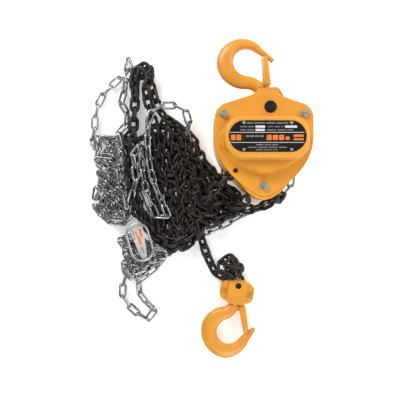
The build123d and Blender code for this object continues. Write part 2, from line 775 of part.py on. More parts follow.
LATCH_LENGTH = sqrt((LATCH_END[0] - LATCH_PIVOT[0]) ** 2 + (LATCH_END[1] - LATCH_PIVOT[1]) ** 2)
LATCH_HALF_T = 8.0
LATCH_SHEET = 1.5


def latch_plane(plane):
    """A plane at the latch's pivot, with x along the latch and y towards its back."""
    origin = plane.from_local_coords((*LATCH_PIVOT, 0))
    end = plane.from_local_coords((*LATCH_END, 0))
    return Plane(origin=origin, x_dir=end - origin, z_dir=plane.z_dir)


def build_latch(plane, name):
    """A sheet channel: two cheeks on the pivot pin, joined by a web along the back."""
    own = latch_plane(plane)
    with BuildPart() as latch:
        with BuildSketch(own.offset(-LATCH_HALF_T)):
            with BuildLine():
                Polyline((0, -6), (LATCH_LENGTH, -2.5), (LATCH_LENGTH, 2.5), (0, 6), close=True)
            make_face()
            Circle(6)
        extrude(amount=2 * LATCH_HALF_T)
        with BuildSketch(own.offset(-LATCH_HALF_T + LATCH_SHEET)):
            with BuildLine():
                Polyline((-9, -9), (LATCH_LENGTH + 2, -9), (LATCH_LENGTH + 2, 0.8), (0, 4.6), (-9, 5))
                Line((-9, 5), (-9, -9))
            make_face()
        extrude(amount=2 * (LATCH_HALF_T - LATCH_SHEET), mode=Mode.SUBTRACT)
        with BuildSketch(own.offset(-LATCH_HALF_T)):
            Circle(LATCH_PIN_R + RUNNING)
        extrude(amount=2 * LATCH_HALF_T, mode=Mode.SUBTRACT)
    save(latch, name)


def build_latch_pin(plane, name):
    """The rivet that carries the latch, headed at both ends."""
    own = latch_plane(plane)
    with BuildPart() as latch_pin:
        with BuildSketch(own.offset(-LATCH_HALF_T - 1.8)):
            Circle(LATCH_PIN_R)
        extrude(amount=2 * LATCH_HALF_T + 3.6)
        for low in (-LATCH_HALF_T - 1.8, LATCH_HALF_T + 0.1):
            with BuildSketch(own.offset(low)):
                Circle(4)
            extrude(amount=1.7)
    save(latch_pin, name)


def build_latch_spring(plane, name):
    """A small two-coil torsion spring in the channel, as rings beside the pin."""
    own = latch_plane(plane)
    with BuildPart() as latch_spring:
        for height in (-6.25, 6.25):
            with BuildSketch(own.offset(height - 0.2)):
                Circle(3.6)
                Circle(2.8, mode=Mode.SUBTRACT)
            extrude(amount=0.4)
    save(latch_spring, name)


LOBE_BOLT_X = 28.0
LOBE_BOLT_Y = 90.0
LOBE_BOLT_R = 4.0
LOBE_T = 25.0


def build_yoke(plane, name, pin_radius, head_radius, chain_slot):
    """Two bolted halves round the hook's collar, with the pin hole at the far end."""
    half, lobe_half = YOKE_T / 2, LOBE_T / 2
    with BuildPart() as yoke:
        with BuildSketch(shifted(plane, -lobe_half)):
            with Locations((0, LOBE_BOLT_Y)):
                RectangleRounded(72, 43, 14)
        extrude(amount=LOBE_T)
        fillet(yoke.faces().filter_by(Axis.Z).edges(), 2.5)
        with BuildSketch(shifted(plane, -half)):
            with Locations((0, 90.4)):
                RectangleRounded(42, 52.8, 9)
        extrude(amount=YOKE_T)
        for group in (0, -1):
            fillet(yoke.faces().filter_by(Axis.Z).group_by(Axis.Z)[group].edges(), 2.5)
        for low, high, radius in (
            (63, COLLAR_Y[0], NECK_R + RUNNING),
            (COLLAR_Y[0] - 0.2, COLLAR_Y[1] + 0.2, COLLAR_R + 0.3),
        ):
            start = plane.from_local_coords((0, low, 0))
            with BuildSketch(Plane(origin=start, x_dir=plane.z_dir, z_dir=plane.y_dir)):
                Circle(radius)
            extrude(amount=high - low, mode=Mode.SUBTRACT)
        with BuildSketch(shifted(plane, -half)):
            with Locations((0, PIN_Y)):
                Circle(pin_radius)
        extrude(amount=YOKE_T, mode=Mode.SUBTRACT)
        with BuildSketch(shifted(plane, 9)):
            with Locations((0, PIN_Y)):
                Circle(head_radius)
        extrude(amount=YOKE_T, mode=Mode.SUBTRACT)
        with BuildSketch(shifted(plane, -half)):
            with Locations((-LOBE_BOLT_X, LOBE_BOLT_Y), (LOBE_BOLT_X, LOBE_BOLT_Y)):
                Circle(LOBE_BOLT_R)
        extrude(amount=YOKE_T, mode=Mode.SUBTRACT)
        for low in (-lobe_half, lobe_half - 5):
            with BuildSketch(shifted(plane, low)):
                with Locations((-LOBE_BOLT_X, LOBE_BOLT_Y), (LOBE_BOLT_X, LOBE_BOLT_Y)):
                    Circle(6.8)
            extrude(amount=5, mode=Mode.SUBTRACT)
        if chain_slot:
            with BuildSketch(shifted(plane, -4.4)):
                with Locations((0, 106)):
                    Rectangle(26, 34)
            extrude(amount=8.8, mode=Mode.SUBTRACT)
        split(bisect_by=plane, keep=Keep.BOTH)
    save(yoke, name)


def build_yoke_bolts(plane, name):
    """Socket head bolts and hexagonal nuts, sunk in the lobes of the yoke."""
    half = LOBE_T / 2
    with BuildPart() as yoke_bolts:
        for side in (-1, 1):
            spot = (side * LOBE_BOLT_X, LOBE_BOLT_Y)
            with BuildSketch(shifted(plane, -half + 0.4)):
                with Locations(spot):
                    Circle(LOBE_BOLT_R)
            extrude(amount=LOBE_T - 1.2)
            with BuildSketch(shifted(plane, half - 5)):
                with Locations(spot):
                    Circle(6.2)
            extrude(amount=4.4)
            with BuildSketch(shifted(plane, half - 3.6)):
                with Locations(spot):
                    RegularPolygon(3, 6, major_radius=False)
            extrude(amount=4, mode=Mode.SUBTRACT)
            with BuildSketch(shifted(plane, -half + 0.6)):
                with Locations(spot):
                    RegularPolygon(5.8, 6, major_radius=False)
            extrude(amount=4.4)
    save(yoke_bolts, name)


for plane, side in ((TOP_HOOK, "top"), (BOTTOM_HOOK, "bottom")):
    build_hook(plane, side)
    build_latch(plane, f"{side}_latch")
    build_latch_pin(plane, f"{side}_latch_pin")
    build_latch_spring(plane, f"{side}_latch_spring")
    build_yoke_bolts(plane, f"{side}_yoke_bolts")
build_yoke(TOP_HOOK, "top_yoke", TOP_PIN_R + RUNNING, TOP_PIN_R + RUNNING, False)
build_yoke(BOTTOM_HOOK, "bottom_yoke", ANCHOR_PIN_R, 6.5, True)

with BuildPart() as chain_pin:
    with BuildSketch(shifted(BOTTOM_HOOK, -YOKE_T / 2 + 0.5)):
        with Locations((0, PIN_Y)):
            Circle(ANCHOR_PIN_R)
    extrude(amount=YOKE_T / 2 + 9 - 0.5)
    with BuildSketch(shifted(BOTTOM_HOOK, 9)):
        with Locations((0, PIN_Y)):
            Circle(6.5)
    extrude(amount=5)
save(chain_pin, "chain_pin")

# ---------------------------------------------------------------- tag on its wire ring

TAG = Plane(origin=(-250, -206, 46), x_dir=(0.28, -0.96, 0), z_dir=(0, 0, 1))
TAG_WIRE_R = 2.4
TAG_RING = (84, 50)

with BuildPart() as tag_ring:
    straight = (TAG_RING[0] - TAG_RING[1]) / 2
    half = TAG_RING[1] / 2 - TAG_WIRE_R
    with BuildLine(TAG.offset(5)) as tag_loop:
        Line((-straight, half), (straight, half))
        ThreePointArc((straight, half), (straight + half, 0), (straight, -half))
        Line((straight, -half), (-straight, -half))
        ThreePointArc((-straight, -half), (-straight - half, 0), (-straight, half))
    with BuildSketch(Plane(origin=tag_loop.line @ 0, z_dir=tag_loop.line % 0)):
        Circle(TAG_WIRE_R)
    sweep(path=tag_loop.line)
save(tag_ring, "tag_ring")

with BuildPart() as tag_plate:
    with BuildSketch(TAG):
        with BuildLine():
            Line((-34, -15), (30, -7))
            ThreePointArc((30, -7), (36, 0), (30, 7))
            Line((30, 7), (-34, 15))
            ThreePointArc((-34, 15), (-46, 0), (-34, -15))
        make_face()
        with Locations((-37, 0)):
            Circle(4, mode=Mode.SUBTRACT)
    extrude(amount=1.2)
save(tag_plate, "tag_plate")

# ---------------------------------------------------------------- loose chain: tubes and heaps

LOAD_TUBE = 20.0
HAND_TUBE = 15.0


def corner_radii(route, largest):
    """For each corner, 0.45 of its shorter run over the tangent of half its turn."""
    radii = []
    for before, corner, after in zip(route, route[1:], route[2:]):
        first, second = Vector(*corner) - Vector(*before), Vector(*after) - Vector(*corner)
        half_turn = radians(first.get_angle(second)) / 2
        radii.append(min(largest, 0.45 * min(first.length, second.length) / tan(half_turn)))
    return radii


def chain_tube(route, diameter):
    """A plain round tube along a route of straight runs joined by tangent arcs; returns its length."""
    radii = corner_radii(route, 60 * diameter)
    with BuildLine() as path:
        FilletPolyline(*route, radius=radii)
    wire = path.wire()
    with BuildSketch(Plane(origin=wire @ 0, z_dir=wire % 0)) as section:
        Circle(diameter / 2)
    sweep(section.sketch, path=wire)
    print("  length", round(wire.length), "radii", [round(radius) for radius in radii])
    return wire.length


def heap(points, radius, low, high):
    """A closed solid of a heap's outer shape."""
    with BuildSketch(level(low)) as outline:
        add(closed_outline(points, radius))
    extrude(outline.sketch, amount=high - low, dir=(0, 0, 1))


FLOOR_Z = LOAD_TUBE / 2 + 0.2
HAND_FLOOR_Z = HAND_TUBE / 2 + 0.2
FALL_Y = -(LOAD_FALL_LINKS + 0.5) * LOAD_PITCH

# From the sheave's right fall, down to the floor and back to the left into the pile
FALL_ROUTE = [
    (SHEAVE_RADIUS, FALL_Y, CHAIN_Z),
    (27, -112, 94),
    (36, -120, 82),
    (46, -112, 64),
    (49, -104, 44),
    (40, -114, 28),
    (20, -128, 22),
    (-4, -137, 24),
    (-28, -138, 28),
    (-54, -140, 28),
]
SLACK_ROUTE = [
    (-SHEAVE_RADIUS, FALL_Y, CHAIN_Z),
    (-28, -114, 93),
    (-35, -126, 78),
    (-44, -130, 56),
    (-60, -128, 38),
    (-84, -118, 30),
]
# The chain's dead end, from the link that the anchor pin holds down to the pile
ANCHOR_ROUTE = [
    (*stepped(ANCHOR_PIN, ANCHOR_DIR, PIN_TO_LINK + 1.5 * LOAD_PITCH), CHAIN_Z),
    (-100, -97, 89),
    (-108, -112, 72),
    (-112, -124, 52),
    (-122, -124, 34),
]
HOOK_ROUTE = [
    (-126, -170, 26),
    (-122, -198, 16),
    (-114, -225, FLOOR_Z),
    (-104, -250, FLOOR_Z),
    (-96, -266, 12),
    (-85, -274, 22),
    (-73, -266, 36),
    (-61, -242, 46),
    (-42, -240, 44),
    (-36, -256, 32),
    (*stepped(CHAIN_PIN, HOOK_AXIS, PIN_TO_LINK + LOAD_PITCH / 2 + 6), BOTTOM_BOWL[2]),
]
HAND_EXIT_Y = -(HAND_FALL_LINKS + 0.5) * HAND_PITCH
NEAR_ROUTE = [
    (-WHEEL_RADIUS, HAND_EXIT_Y, HAND_CHAIN_Z),
    (-WHEEL_RADIUS - 3, HAND_EXIT_Y - 28, 30),
    (-92, -103, 42),
    (-108, -86, 52),
    (-116, -56, 54),
    (-130, -30, 52),
    (-146, -8, 50),
    (-158, 22, 46),
    (-144, 52, 40),
    (-160, 80, 38),
    (-190, 82, 44),
    (-214, 78, 50),
    (-230, 62, 52),
    (-234, 24, 52),
    (-233, -16, 52),
    (-228, -56, 52),
    (-216, -96, 52),
    (-200, -128, 50),
    (-190, -152, 48),
]
OUTER_ROUTE = [
    (-284, 146, 24),
    (-298, 148, HAND_FLOOR_Z + 4),
    (-316, 130, HAND_FLOOR_Z),
    (-333, 116, HAND_FLOOR_Z),
    (-345, 92, HAND_FLOOR_Z),
    (-353, 66, HAND_FLOOR_Z),
    (-350, 42, HAND_FLOOR_Z),
    (-361, 22, HAND_FLOOR_Z),
    (-357, 2, HAND_FLOOR_Z),
    (-345, -12, 20),
]
TAIL_ROUTE = [
    (-292, -290, 18),
    (-291, -312, HAND_FLOOR_Z),
    (-294, -330, HAND_FLOOR_Z),
    (-280, -345, HAND_FLOOR_Z),
    (-270, -360, HAND_FLOOR_Z),
    (-250, -370, HAND_FLOOR_Z),
    (-230, -382, HAND_FLOOR_Z),
    (-215, -373, HAND_FLOOR_Z),
    (-222, -354, HAND_FLOOR_Z),
    (-240, -342, HAND_FLOOR_Z),
    (-252, -328, HAND_FLOOR_Z),
    (-260, -311, HAND_FLOOR_Z),
    (-258, -292, 18),
]
RETURN_ROUTE = [
    (-214, -238, 12),
    (-176, -206, HAND_FLOOR_Z),
    (-138, -186, HAND_FLOOR_Z),
    (-98, -170, HAND_FLOOR_Z),
    (-58, -150, HAND_FLOOR_Z),
    (-24, -135, HAND_FLOOR_Z),
    (14, -133, HAND_FLOOR_Z),
    (46, -116, HAND_FLOOR_Z),
    (68, -98, 14),
    (WHEEL_RADIUS + 2, -82, 24),
    (WHEEL_RADIUS, HAND_EXIT_Y, HAND_CHAIN_Z),
]
FREE_TUBES = {
    "load_chain_fall": ([FALL_ROUTE], LOAD_TUBE),
    "load_chain_slack": ([SLACK_ROUTE, ANCHOR_ROUTE], LOAD_TUBE),
    "load_chain_hook_run": ([HOOK_ROUTE], LOAD_TUBE),
    "hand_chain_near_run": ([NEAR_ROUTE], HAND_TUBE),
    "hand_chain_outer_run": ([OUTER_ROUTE], HAND_TUBE),
    "hand_chain_tail": ([TAIL_ROUTE], HAND_TUBE),
    "hand_chain_return": ([RETURN_ROUTE], HAND_TUBE),
}
for tube_name, (routes, diameter) in FREE_TUBES.items():
    print(tube_name)
    with BuildPart() as tubes:
        length = sum(chain_tube(route, diameter) for route in routes)
    expected = pi * diameter**2 / 4 * length
    print("  volume over section times length", round(tubes.part.volume / expected, 4))
    save(tubes, tube_name)

PILE = [
    (-231, 66), (-200, 74), (-170, 74), (-136, 22), (-114, -10), (-106, -40), (-92, -62),
    (-68, -88), (-38, -112), (-30, -142), (-112, -182), (-126, -222), (-142, -232),
    (-190, -252), (-222, -226), (-232, -170), (-233, -40),
]
HANK = [
    (-266, 180), (-228, 178), (-222, 136), (-216, 100), (-234, 84), (-240, 60), (-234, 0),
    (-236, -70), (-234, -140), (-230, -200), (-250, -186), (-268, -130), (-280, -70), (-282, 0),
    (-278, 60), (-270, 110),
]
with BuildPart() as load_chain_pile:
    heap(PILE, 8, 0.4, 42)
    heap(HANK, 6, 0.4, 40)
save(load_chain_pile, "load_chain_pile")

LEFT_HEAP = [
    (-346, 26), (-320, 32), (-300, 22), (-284, 10), (-283, -70), (-272, -128), (-262, -160),
    (-290, -184), (-330, -160), (-364, -132), (-362, -104), (-342, -96), (-352, -60),
    (-356, -20),
]
LOWER_HEAP = [
    (-310, -170), (-290, -186), (-262, -176), (-240, -226), (-180, -232), (-178, -246),
    (-222, -270), (-248, -292), (-292, -298), (-306, -256), (-316, -210),
]
TOP_HEAP = [(-288, 158), (-268, 176), (-262, 160), (-272, 110), (-266, 72), (-282, 72), (-292, 104)]
with BuildPart() as hand_chain_heaps:
    heap(LEFT_HEAP, 7, 0.4, 34)
    heap(LOWER_HEAP, 6, 0.4, 36)
    heap(TOP_HEAP, 4, 0.4, 36)
save(hand_chain_heaps, "hand_chain_heaps")
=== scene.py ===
"""The looks of the chain hoist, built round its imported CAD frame. Lengths here are millimetres until
they reach Blender, which works in metres."""

from math import cos, exp, pi, radians, sin

import bpy
import numpy as np
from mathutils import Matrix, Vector


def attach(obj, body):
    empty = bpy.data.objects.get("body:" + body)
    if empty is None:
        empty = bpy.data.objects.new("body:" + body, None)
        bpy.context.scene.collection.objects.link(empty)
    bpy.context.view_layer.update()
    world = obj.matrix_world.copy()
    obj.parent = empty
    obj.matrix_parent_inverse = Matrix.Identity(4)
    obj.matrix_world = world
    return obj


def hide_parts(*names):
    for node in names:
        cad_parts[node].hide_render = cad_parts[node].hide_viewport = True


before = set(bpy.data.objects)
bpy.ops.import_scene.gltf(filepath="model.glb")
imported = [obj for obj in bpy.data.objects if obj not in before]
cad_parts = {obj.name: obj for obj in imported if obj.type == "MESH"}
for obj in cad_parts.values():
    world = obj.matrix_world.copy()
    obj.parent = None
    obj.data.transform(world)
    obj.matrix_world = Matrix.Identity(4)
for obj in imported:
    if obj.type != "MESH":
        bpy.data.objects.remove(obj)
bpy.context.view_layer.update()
MM = 0.001

# ---------------------------------------------------------------- camera

CAMERA_PLACE = (-0.124, -0.118, 1.0)  # metres, looking straight down
LENS = 40.9
SENSOR_WIDTH = 36

camera_data = bpy.data.cameras.new("camera")
camera_data.lens = LENS
camera_data.sensor_width = SENSOR_WIDTH
camera = bpy.data.objects.new("camera", camera_data)
camera.location = CAMERA_PLACE
bpy.context.scene.collection.objects.link(camera)
bpy.context.scene.camera = camera

# ---------------------------------------------------------------- helpers for meshes


def new_mesh(name, points, faces, material, smooth=True):
    """A mesh object from points in millimetres."""
    data = bpy.data.meshes.new(name)
    data.from_pydata([tuple(c * MM for c in p) for p in points], [], faces)
    data.materials.append(material)
    if smooth:
        data.polygons.foreach_set("use_smooth", [True] * len(data.polygons))
    data.update()
    piece = bpy.data.objects.new(name, data)
    bpy.context.scene.collection.objects.link(piece)
    return piece


def skin(rings, caps=True, closed=False):
    """Points and faces of a skin over rings of equal count. Caps close its two ends; a closed skin
    runs on from its last ring to its first."""
    count = len(rings[0])
    points = [p for ring in rings for p in ring]
    faces = []
    for i in range(len(rings) if closed else len(rings) - 1):
        following = (i + 1) % len(rings)
        for j in range(count):
            k = (j + 1) % count
            faces.append((i * count + j, i * count + k, following * count + k, following * count + j))
    if caps:
        faces.append(tuple(reversed(range(count))))
        faces.append(tuple(range((len(rings) - 1) * count, len(rings) * count)))
    return points, faces


def joined(parts):
    """Points and faces of several (points, faces) pairs together."""
    points, faces = [], []
    for some_points, some_faces in parts:
        start = len(points)
        points += list(some_points)
        faces += [tuple(start + i for i in face) for face in some_faces]
    return points, faces


# ---------------------------------------------------------------- materials


def node_material(name):
    """A material with its shader and its object coordinates."""
    material = bpy.data.materials.new(name)
    material.use_nodes = True
    nodes = material.node_tree.nodes
    return material, nodes, material.node_tree.links, nodes["Principled BSDF"]


def noise(nodes, links, scale, detail=2.0, roughness=0.5, stretch=(1, 1, 1)):
    """Noise over the piece, in object space."""
    place = nodes.new("ShaderNodeTexCoord")
    mapping = nodes.new("ShaderNodeMapping")
    mapping.inputs["Scale"].default_value = stretch
    texture = nodes.new("ShaderNodeTexNoise")
    texture.inputs["Scale"].default_value = scale
    texture.inputs["Detail"].default_value = detail
    texture.inputs["Roughness"].default_value = roughness
    links.new(place.outputs["Object"], mapping.inputs["Vector"])
    links.new(mapping.outputs["Vector"], texture.inputs["Vector"])
    return texture.outputs["Fac"]


def ramp(nodes, links, value, stops):
    """A colour ramp of (position, colour) stops driven by a value."""
    node = nodes.new("ShaderNodeValToRGB")
    elements = node.color_ramp.elements
    while len(elements) < len(stops):
        elements.new(0.5)
    for element, (position, colour) in zip(elements, stops):
        element.position = position
        element.color = (*colour, 1)
    links.new(value, node.inputs["Fac"])
    return node.outputs["Color"]


def spread(nodes, links, value, low, high, start=0.3, end=0.7):
    """A value mapped from start..end to low..high."""
    node = nodes.new("ShaderNodeMapRange")
    node.inputs["From Min"].default_value = start
    node.inputs["From Max"].default_value = end
    node.inputs["To Min"].default_value = low
    node.inputs["To Max"].default_value = high
    links.new(value, node.inputs["Value"])
    return node.outputs["Result"]


def mixed(nodes, links, share, first, second):
    """Two colours mixed by a share."""
    node = nodes.new("ShaderNodeMix")
    node.data_type = "RGBA"
    links.new(share, node.inputs["Factor"])
    for value, socket in ((first, node.inputs["A"]), (second, node.inputs["B"])):
        if isinstance(value, tuple):
            socket.default_value = (*value, 1)
        else:
            links.new(value, socket)
    return node.outputs["Result"]


def edges(nodes, links, radius, low, high):
    """1 along convex and concave edges, 0 on flat faces."""
    bevel = nodes.new("ShaderNodeBevel")
    bevel.samples = 4
    bevel.inputs["Radius"].default_value = radius
    geometry = nodes.new("ShaderNodeNewGeometry")
    dot = nodes.new("ShaderNodeVectorMath")
    dot.operation = "DOT_PRODUCT"
    links.new(bevel.outputs["Normal"], dot.inputs[0])
    links.new(geometry.outputs["Normal"], dot.inputs[1])
    return spread(nodes, links, dot.outputs["Value"], 1, 0, low, high)


def times(nodes, links, first, second):
    """The product of two values."""
    node = nodes.new("ShaderNodeMath")
    node.operation = "MULTIPLY"
    node.use_clamp = True
    links.new(first, node.inputs[0])
    links.new(second, node.inputs[1])
    return node.outputs["Value"]


def bump(nodes, links, shader, layers, soften=None):
    """Bump from (height, distance in mm) layers, over edges softened by a radius in mm."""
    normal = None
    if soften:
        bevel = nodes.new("ShaderNodeBevel")
        bevel.samples = 4
        bevel.inputs["Radius"].default_value = soften * MM
        normal = bevel.outputs["Normal"]
    for height, distance in layers:
        node = nodes.new("ShaderNodeBump")
        node.inputs["Strength"].default_value = 1
        node.inputs["Distance"].default_value = distance * MM
        links.new(height, node.inputs["Height"])
        if normal:
            links.new(normal, node.inputs["Normal"])
        normal = node.outputs["Normal"]
    links.new(normal, shader.inputs["Normal"])


CHIP_RADIUS = 0.0009  # metres from an edge
CHIP_COLOUR = (0.10, 0.055, 0.025)
GRIME_COLOUR = (0.30, 0.13, 0.03)


def brightened(colour, factor):
    """A colour made brighter, up to white."""
    return tuple(min(1, c * factor) for c in colour)


def enamel(name, colour, dark, worn=0.5, soften=0.8):
    """Yellow enamel: slight mottling, orange peel, a clear coat, and bare or grimy chips on its edges."""
    material, nodes, links, shader = node_material(name)
    mottle = noise(nodes, links, 14, 4, 0.55)
    body = ramp(nodes, links, mottle, [(0.3, dark), (0.52, colour), (0.75, brightened(colour, 1.04))])
    chips = times(
        nodes,
        links,
        edges(nodes, links, CHIP_RADIUS, 0.90, 0.995),
        spread(nodes, links, noise(nodes, links, 180, 6, 0.65), 0, worn, 0.52, 0.6),
    )
    specks = spread(nodes, links, noise(nodes, links, 420, 3, 0.6), 0, 0.5, 0.70, 0.76)
    chipped = mixed(nodes, links, chips, body, CHIP_COLOUR)
    grimy = mixed(nodes, links, specks, chipped, GRIME_COLOUR)
    links.new(grimy, shader.inputs["Base Color"])
    links.new(spread(nodes, links, noise(nodes, links, 60, 5), 0.30, 0.46), shader.inputs["Roughness"])
    shader.inputs["Coat Weight"].default_value = 0.25
    shader.inputs["Coat Roughness"].default_value = 0.18
    bump(
        nodes,
        links,
        shader,
        [(noise(nodes, links, 90, 2), 0.12), (noise(nodes, links, 700, 2), 0.02)],
        soften,
    )
    return material


def metal(name, colour, dark, rough, mottle_scale=60, metallic=1.0, peel=0.03, stretch=(1, 1, 1)):
    """Metal with stained patches, uneven gloss and a fine grain."""
    material, nodes, links, shader = node_material(name)
    stain = noise(nodes, links, mottle_scale, 5, 0.6, stretch)
    body = ramp(nodes, links, stain, [(0.32, dark), (0.55, colour), (0.8, brightened(colour, 1.1))])
    links.new(body, shader.inputs["Base Color"])
    shader.inputs["Metallic"].default_value = metallic
    gloss = spread(nodes, links, noise(nodes, links, mottle_scale * 3, 4), *rough)
    links.new(gloss, shader.inputs["Roughness"])
    bump(nodes, links, shader, [(noise(nodes, links, mottle_scale * 12, 3, 0.6, stretch), peel)])
    return material


YELLOW = (0.80, 0.345, 0.028)
PAINT = enamel("enamel", YELLOW, (0.72, 0.29, 0.02))
FORGED_PAINT = enamel("enamel_on_forging", (0.76, 0.32, 0.026), (0.64, 0.24, 0.018), 0.8, 0.5)
ZINC = metal("zinc", (0.66, 0.68, 0.69), (0.30, 0.31, 0.31), (0.22, 0.42), 120)
# Zinc with painted shade: the hand chain's colour and its darkest patches are made darker than the bolts'
# zinc, standing in for the shade in the gaps between its links
CHAIN_ZINC_WITH_SHADE = metal("chain_zinc_with_shade", (0.44, 0.455, 0.465), (0.10, 0.10, 0.098), (0.18, 0.36), 55)
CHAIN_BLACK = metal("chain_black", (0.030, 0.024, 0.021), (0.008, 0.006, 0.005), (0.3, 0.5), 90, 0.35)
MACHINED = metal("machined_steel", (0.50, 0.50, 0.51), (0.30, 0.30, 0.30), (0.25, 0.4), 40)
CAST = metal("cast_iron", (0.17, 0.165, 0.16), (0.06, 0.055, 0.05), (0.5, 0.75), 50, 0.7, 0.12)
RUBBER = metal("plug_rubber", (0.018, 0.018, 0.02), (0.010, 0.010, 0.011), (0.5, 0.7), 80, 0.0, 0.05)
LINING = metal("friction_lining", (0.12, 0.09, 0.07), (0.05, 0.04, 0.03), (0.7, 0.9), 150, 0.0, 0.1)
BRONZE = metal("bush_bronze", (0.60, 0.40, 0.18), (0.35, 0.22, 0.10), (0.25, 0.45), 60)
TAG_METAL = metal("tag_metal", (0.80, 0.80, 0.77), (0.62, 0.62, 0.58), (0.3, 0.5), 50, 0.55)
RING_STEEL = metal("ring_steel", (0.60, 0.59, 0.57), (0.38, 0.37, 0.35), (0.3, 0.45), 60)
PLATE_BLACK = metal("plate_black", (0.016, 0.015, 0.016), (0.008, 0.008, 0.008), (0.32, 0.5), 30, 0.0, 0.01)
PRINT_WHITE = metal("print_white", (0.72, 0.71, 0.68), (0.55, 0.54, 0.50), (0.4, 0.55), 200, 0.0, 0.01)
PRINT_GREY = metal("print_grey", (0.20, 0.19, 0.185), (0.13, 0.125, 0.12), (0.4, 0.55), 200, 0.0, 0.01)
PRINT_ORANGE = metal("print_orange", (0.78, 0.20, 0.03), (0.60, 0.13, 0.02), (0.4, 0.55), 200, 0.0, 0.01)

# The plate's lacquer and the plug reflect less than metal does
DULL_SPECULAR = 0.12
for material in (PLATE_BLACK, RUBBER):
    material.node_tree.nodes["Principled BSDF"].inputs["Specular IOR Level"].default_value = DULL_SPECULAR

NODE_MATERIALS = {
    PAINT: ["gear_cover", "wheel_cover", "side_plate_wheel", "side_plate_gear"],
    FORGED_PAINT: [
        "top_yoke", "bottom_yoke", "top_latch", "bottom_latch", "top_hook", "bottom_hook",
        "top_latch_pin", "bottom_latch_pin", "top_yoke_bolts", "bottom_yoke_bolts",
    ],
    ZINC: ["stay_bolts", "stay_nuts", "split_pin", "castle_nut"],
    CHAIN_ZINC_WITH_SHADE: ["hand_chain_links"],
    CHAIN_BLACK: ["load_chain_links", "chain_pin", "chain_anchor_pin", "top_pin"],
    MACHINED: [
        "drive_shaft", "friction_hub", "ratchet_disc", "pawl_upper", "pawl_lower", "pawl_pins",
        "load_gear", "intermediate_gear_left", "intermediate_gear_right", "snap_ring",
        "sheave_bearings", "guide_roller_left", "guide_roller_right", "guide_roller_pins",
        "pawl_springs", "top_latch_spring", "bottom_latch_spring", "name_plate_rivets",
    ],
    CAST: ["hand_wheel", "load_sheave", "chain_guide"],
    PLATE_BLACK: ["name_plate"],
    RUBBER: ["top_pin_plug"],
    LINING: ["friction_disc_inner", "friction_disc_outer"],
    BRONZE: ["gear_bushes"],
    TAG_METAL: ["tag_plate"],
    RING_STEEL: ["tag_ring"],
}
for material, names in NODE_MATERIALS.items():
    for name in names:
        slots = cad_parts[name].data.materials
        slots.clear()
        slots.append(material)

# ---------------------------------------------------------------- name plate print

# Bars and blocks in place of any print: left, right, middle height and thickness on the plate
WHITE_BARS = [
    (-69, 66.5, 5.7, 1.0), (-69, 66.5, -12.7, 1.0), (-22.7, -4.8, 16.2, 4.2), (31.2, 53.7, 16.2, 4.2),
    (-22.7, -5.4, 10.2, 4.2),
]
GREY_BARS = [
    (-39, -27, 23, 2.6), (-25, -5, 23, 2.6), (-3, 14, 23, 2.6), (16, 38, 23, 2.6),
    (-51, -38, 16.2, 2.0), (-36, -25, 16.2, 2.0), (0, 10, 16.2, 2.0), (12, 22, 16.2, 2.0),
    (24, 28, 16.2, 2.0),
    (-51, -40, 10.2, 2.0), (-38, -25, 10.2, 2.0), (-1.5, 16, 10.2, 2.0), (18, 33, 10.2, 2.0),
    (35, 47, 10.2, 2.0),
    (-21, -8, -16.8, 2.2), (-6, 6, -16.8, 2.2), (8, 19, -16.8, 2.2),
    (-37, -20, -21.7, 2.0), (-18, 0, -21.7, 2.0), (2, 18, -21.7, 2.0), (20, 35, -21.7, 2.0),
    (-22, -9, -26.2, 1.6), (-7, 7, -26.2, 1.6), (9, 18, -26.2, 1.6),
    (-40, -34, -1.2, 3.6), (-32.5, -25, -1.2, 3.6), (-23.5, -16, -1.2, 3.6), (-14.5, -7.3, -1.2, 3.6),
]
ORANGE_BARS = [
    (-67.5, -58.8, -3.6, 10.4), (-57.2, -48.6, -3.6, 10.4), (-44.5, -43.4, -3.6, 12.4),
    (-2.2, 7.2, -3.6, 9.6), (9.0, 18.6, -3.6, 9.6), (20.4, 29.9, -3.6, 9.6), (32.5, 40, -5.0, 6.4),
    (47.3, 65.9, -0.4, 4.6), (47.3, 65.9, -6.8, 3.6),
]


PRINT_FOOT = -0.05  # how far a bar sinks into the face under it
PRINT_TOP = 0.12  # how far it stands proud of that face
CORNER_SHARE = 0.25
MOST_CORNER = 1.0


def bars_mesh(bars, low, high):
    """Thin raised bars with clipped corners, as points and faces."""
    made = []
    for left, right, middle, thickness in bars:
        half = thickness / 2
        cut = min(CORNER_SHARE * thickness, MOST_CORNER)
        spots = [
            (left + cut, middle - half), (right - cut, middle - half), (right, middle - half + cut),
            (right, middle + half - cut), (right - cut, middle + half), (left + cut, middle + half),
            (left, middle + half - cut), (left, middle - half + cut),
        ]
        made.append(skin([[(x, y, low) for x, y in spots], [(x, y, high) for x, y in spots]]))
    return joined(made)


plate_top = max(corner[2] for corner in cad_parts["name_plate"].bound_box) / MM
for name, bars, material in (
    ("plate_white_bars", WHITE_BARS, PRINT_WHITE),
    ("plate_grey_bars", GREY_BARS, PRINT_GREY),
    ("plate_orange_bars", ORANGE_BARS, PRINT_ORANGE),
):
    points, faces = bars_mesh(bars, plate_top + PRINT_FOOT, plate_top + PRINT_TOP)
    print_piece = new_mesh(name, points, faces, material, False)
    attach(print_piece, "frame")

